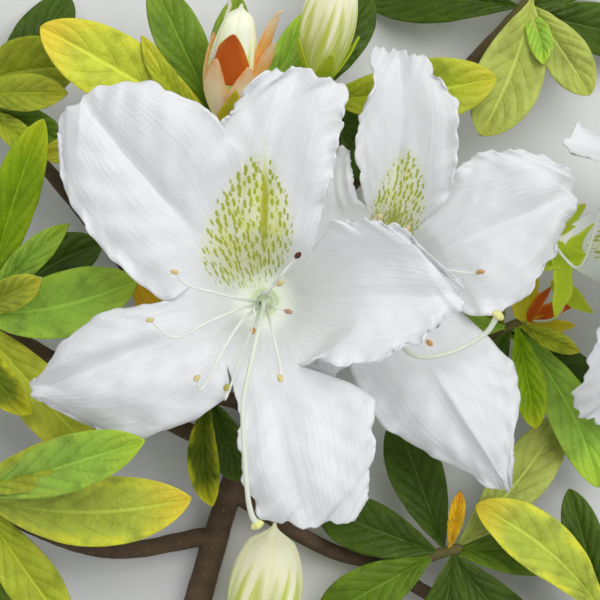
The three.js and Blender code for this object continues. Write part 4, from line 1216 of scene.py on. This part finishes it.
def add_bud_petals(shape, bud, length, to_branch):
    """Petals that wrap round one another, twisted up the bud"""
    count, wide, twist = bud["petals"]
    s, t, uvs = net(*BUD_PETAL_NET)
    closing = 1 - 0.3 * smoothstep(s, 0.55, 1)
    under = 0.9 + 0.1 * (t + 1) / 2 + 0.03 * np.cos(math.pi * t)
    reach = 0.97 * bud_swell(bud, 0.03 + 0.93 * s) * under * (1 - smoothstep(s, 0.86, 1)) + 0.15
    for n in range(count):
        turn = 360 * n / count + twist * s + t * wide / 2 * closing
        grid = polar(turn, reach, s * length * (1 - 0.03 * t ** 2))
        add_sheet(shape, to_branch(grid), SCALE_THICK, uvs)


def add_bracts(shape, bud, length, to_branch):
    """Bracts that wrap round the bud, or stand free of it"""
    tints = list(BRACTS)
    s, t, uvs = net(*BRACT_NET)
    for turn, foot, share, half_width, lean, tint in bud["bracts"]:
        height = foot + share * s
        reach = bud_swell(bud, np.clip(height, 0, 1)) * (1 - 0.04 * t ** 2)
        reach = reach + 0.6 - 0.5 * foot + lean * s ** 2
        half = half_width * np.minimum(1, 0.45 + 1.6 * s) * (1 - s) ** 0.7 + 0.1
        if lean > FREE_BRACT:
            face = polar(turn + 90 - 80 * s, 1, 0)
            grid = polar(turn, reach, height * length) + face * (t * half)[..., None]
        else:
            grid = polar(turn + np.degrees(t * half / np.maximum(reach, 1.5)), reach, height * length)
        slot = 1 + tints.index(tint)
        add_sheet(shape, to_branch(grid), SCALE_THICK, uvs, slot, slot)


def make_bud(name, bud):
    axis = np.subtract(bud["tip"], bud["at"])
    length = np.linalg.norm(axis)
    to_branch = placer(bud["at"], axis)
    shape = Shape()
    add_bud_petals(shape, bud, length, to_branch)
    add_bracts(shape, bud, length, to_branch)
    piece = shape.make(name + "_petals_and_bracts", [BUD_PETALS[bud["tint"]], *BRACTS.values()])
    seat = BOUGHS[bud["shoot"]][1][-1]
    line = limb_line([to_branch([0, 0, 1.5]), to_branch([0, 0, 0.2]), seat],
                     [(0, 1.6), (0.5, PEDICEL), (1, PEDICEL)], steps=30)
    stalk = grow(name + "_stalk", [line], STALK, 12, 0.4)
    slot = "orange_bud" if name == "orange_bud" else "white_bud"
    settle(piece, slot, name)
    settle(stalk, slot)
    add_hairs(name + "_hairs", stalk, slot, density=1.2, length=1.0, width=0.03, seed=9)


# Leaves

def leaf_half(s, width):
    """Half width of a leaf, from its stalk (s = 0) to its tip (s = 1)"""
    blade = (width / 2) * 3.02 * s ** 1.15 * (1 - s) ** 0.72
    return np.maximum(np.where(s == 1, 0.15, PETIOLE * (1 - 0.4 * smoothstep(s, 0, 0.2))), blade)


def leaf_relief(s, t, half, seed):
    """Height of a leaf's quilted blade, grooved midrib and wavy edges over its middle surface"""
    side = np.abs(t)
    body = smoothstep(s, 0.06, 0.25) * (1 - smoothstep(s, 0.82, 1))
    veins = np.sin(math.pi * 7 * (s - 0.3 * side ** 1.2)) ** 2
    quilt = 0.44 * body * (1 - side ** 6) * smoothstep(side, 0.05, 0.4) * veins
    groove = -0.3 * np.exp(-((side * half / 0.55) ** 2)) * smoothstep(s, 0.03, 0.12)
    waves = 0.35 * np.sin(13 * s + seed) + 0.18 * np.sin(31 * s + 2 * seed + 2 * np.sign(t))
    return side * half * LEAF_FOLD + quilt + groove + body * side ** 3 * waves


def leaf_grid(base, turn, length, lift, width, bow, roll, seed):
    """Middle surface of a leaf, from its base, with its thickness and its UVs"""
    s = np.linspace(0, 1, LEAF_ROWS)[:, None]
    t = np.linspace(-1, 1, LEAF_COLS)[None, :]
    level = polar(turn + 90, 1, 0)
    tip = polar(turn, length, lift) + base
    middle = (base + tip) / 2 + level * 2 * bow + np.array([0, 0, 2 * LEAF_ARCH * length])
    midrib = base * (1 - s) ** 2 + middle * 2 * s * (1 - s) + tip * s ** 2
    heading = unit((middle - base) * (1 - s) + (tip - middle) * s)
    across = unit(level - heading * (heading @ level)[:, None])
    up = np.cross(heading, across)
    angle = np.radians(roll) * smoothstep(s, 0, 0.4)
    across, up = across * np.cos(angle) + up * np.sin(angle), up * np.cos(angle) - across * np.sin(angle)
    half = leaf_half(s, width)
    aside = across[:, None, :] * (t * half)[..., None]
    grid = midrib[:, None, :] + aside + up[:, None, :] * leaf_relief(s, t, half, seed)[..., None]
    uvs = np.stack(np.broadcast_arrays((t + 1) / 2, s), -1)
    return grid, LEAF_THICK * (1 - 0.5 * np.abs(t) ** 4) + 0.6 * np.exp(-s / 0.04), uvs


def leaf_base(path, n):
    """Place of a shoot's leaf: five places near the tip, taken in turn"""
    return even(path, 0.96 - 0.02 * (n % 5))


def make_leaves(name, shoot):
    """The leaves of one shoot: those that show, and the whorl around them"""
    path = BOUGHS[name][1]
    count, first, step, long, height, width = shoot["whorl"]
    leaves = list(shoot["seen"])
    for n in range(count):
        tint = WHORL_TINTS[(n + len(name)) % len(WHORL_TINTS)]
        leaves.append([first + step * n, long * (1 + 0.07 * math.sin(5 * n)),
                       height - leaf_base(path, len(leaves))[2], width, math.sin(3 * n), 0, tint])
    tints = list(LEAVES)
    shape = Shape()
    for n, (*sizes, tint) in enumerate(leaves):
        grid, thick, uvs = leaf_grid(leaf_base(path, n), *sizes, seed=1.7 * n + len(name))
        add_sheet(shape, grid, thick, uvs, tints.index(tint), len(tints))
    settle(shape.make(name + "_foliage", [*LEAVES.values(), UNDERSIDE]), "leaf", name + "_leaves")


# Floor, light and camera

def make_floor():
    floor = bpy.data.meshes.new("floor")
    corners = [(x * FLOOR_HALF, y * FLOOR_HALF, 0) for x, y in ((-1, -1), (1, -1), (1, 1), (-1, 1))]
    floor.from_pydata(corners, [], [(0, 1, 2, 3)])
    finish = Finish("pale_floor", 0.9, 0.2)
    finish.put("Base Color", finish.mix(finish.noise(40.0, 3.0), (0.78, 0.78, 0.775), (0.82, 0.82, 0.815)))
    floor.materials.append(finish.material)
    new_object("floor", floor)


def make_light():
    world = bpy.data.worlds.new("studio")
    bpy.context.scene.world = world
    world.use_nodes = True
    background = world.node_tree.nodes["Background"].inputs
    background["Color"].default_value = (*WORLD_COLOUR, 1)
    background["Strength"].default_value = WORLD_LIGHT
    for name, (place, size, power) in LAMPS.items():
        light = bpy.data.lights.new(name, "AREA")
        light.size = size
        light.energy = power
        lamp = new_object(name, light)
        lamp.location = place
        x, y, z = np.array(place) - np.array([0, 0, LIT_HEIGHT])
        lamp.rotation_euler = (math.acos(z / math.hypot(x, y, z)), 0, math.atan2(y, x) + math.pi / 2)


def make_camera():
    camera = bpy.data.cameras.new("view")
    camera.lens = LENS
    camera.sensor_width = SENSOR
    camera.clip_start = 0.01
    eye = new_object("view", camera)
    eye.location = (SHIFT[0] * MM, SHIFT[1] * MM, CAMERA_HEIGHT * MM)
    bpy.context.scene.camera = eye
    bpy.context.scene.view_settings.view_transform = "Standard"


make_floor()
make_light()
make_camera()
make_wood()
for bloom_name, bloom_sizes in BLOOMS.items():
    for make in (make_corolla, make_stamens, make_pistil, make_calyx):
        make(bloom_name, bloom_sizes)
for bud_name, bud_sizes in BUDS.items():
    make_bud(bud_name, bud_sizes)
for shoot_name, shoot_leaves in SHOOTS.items():
    make_leaves(shoot_name, shoot_leaves)
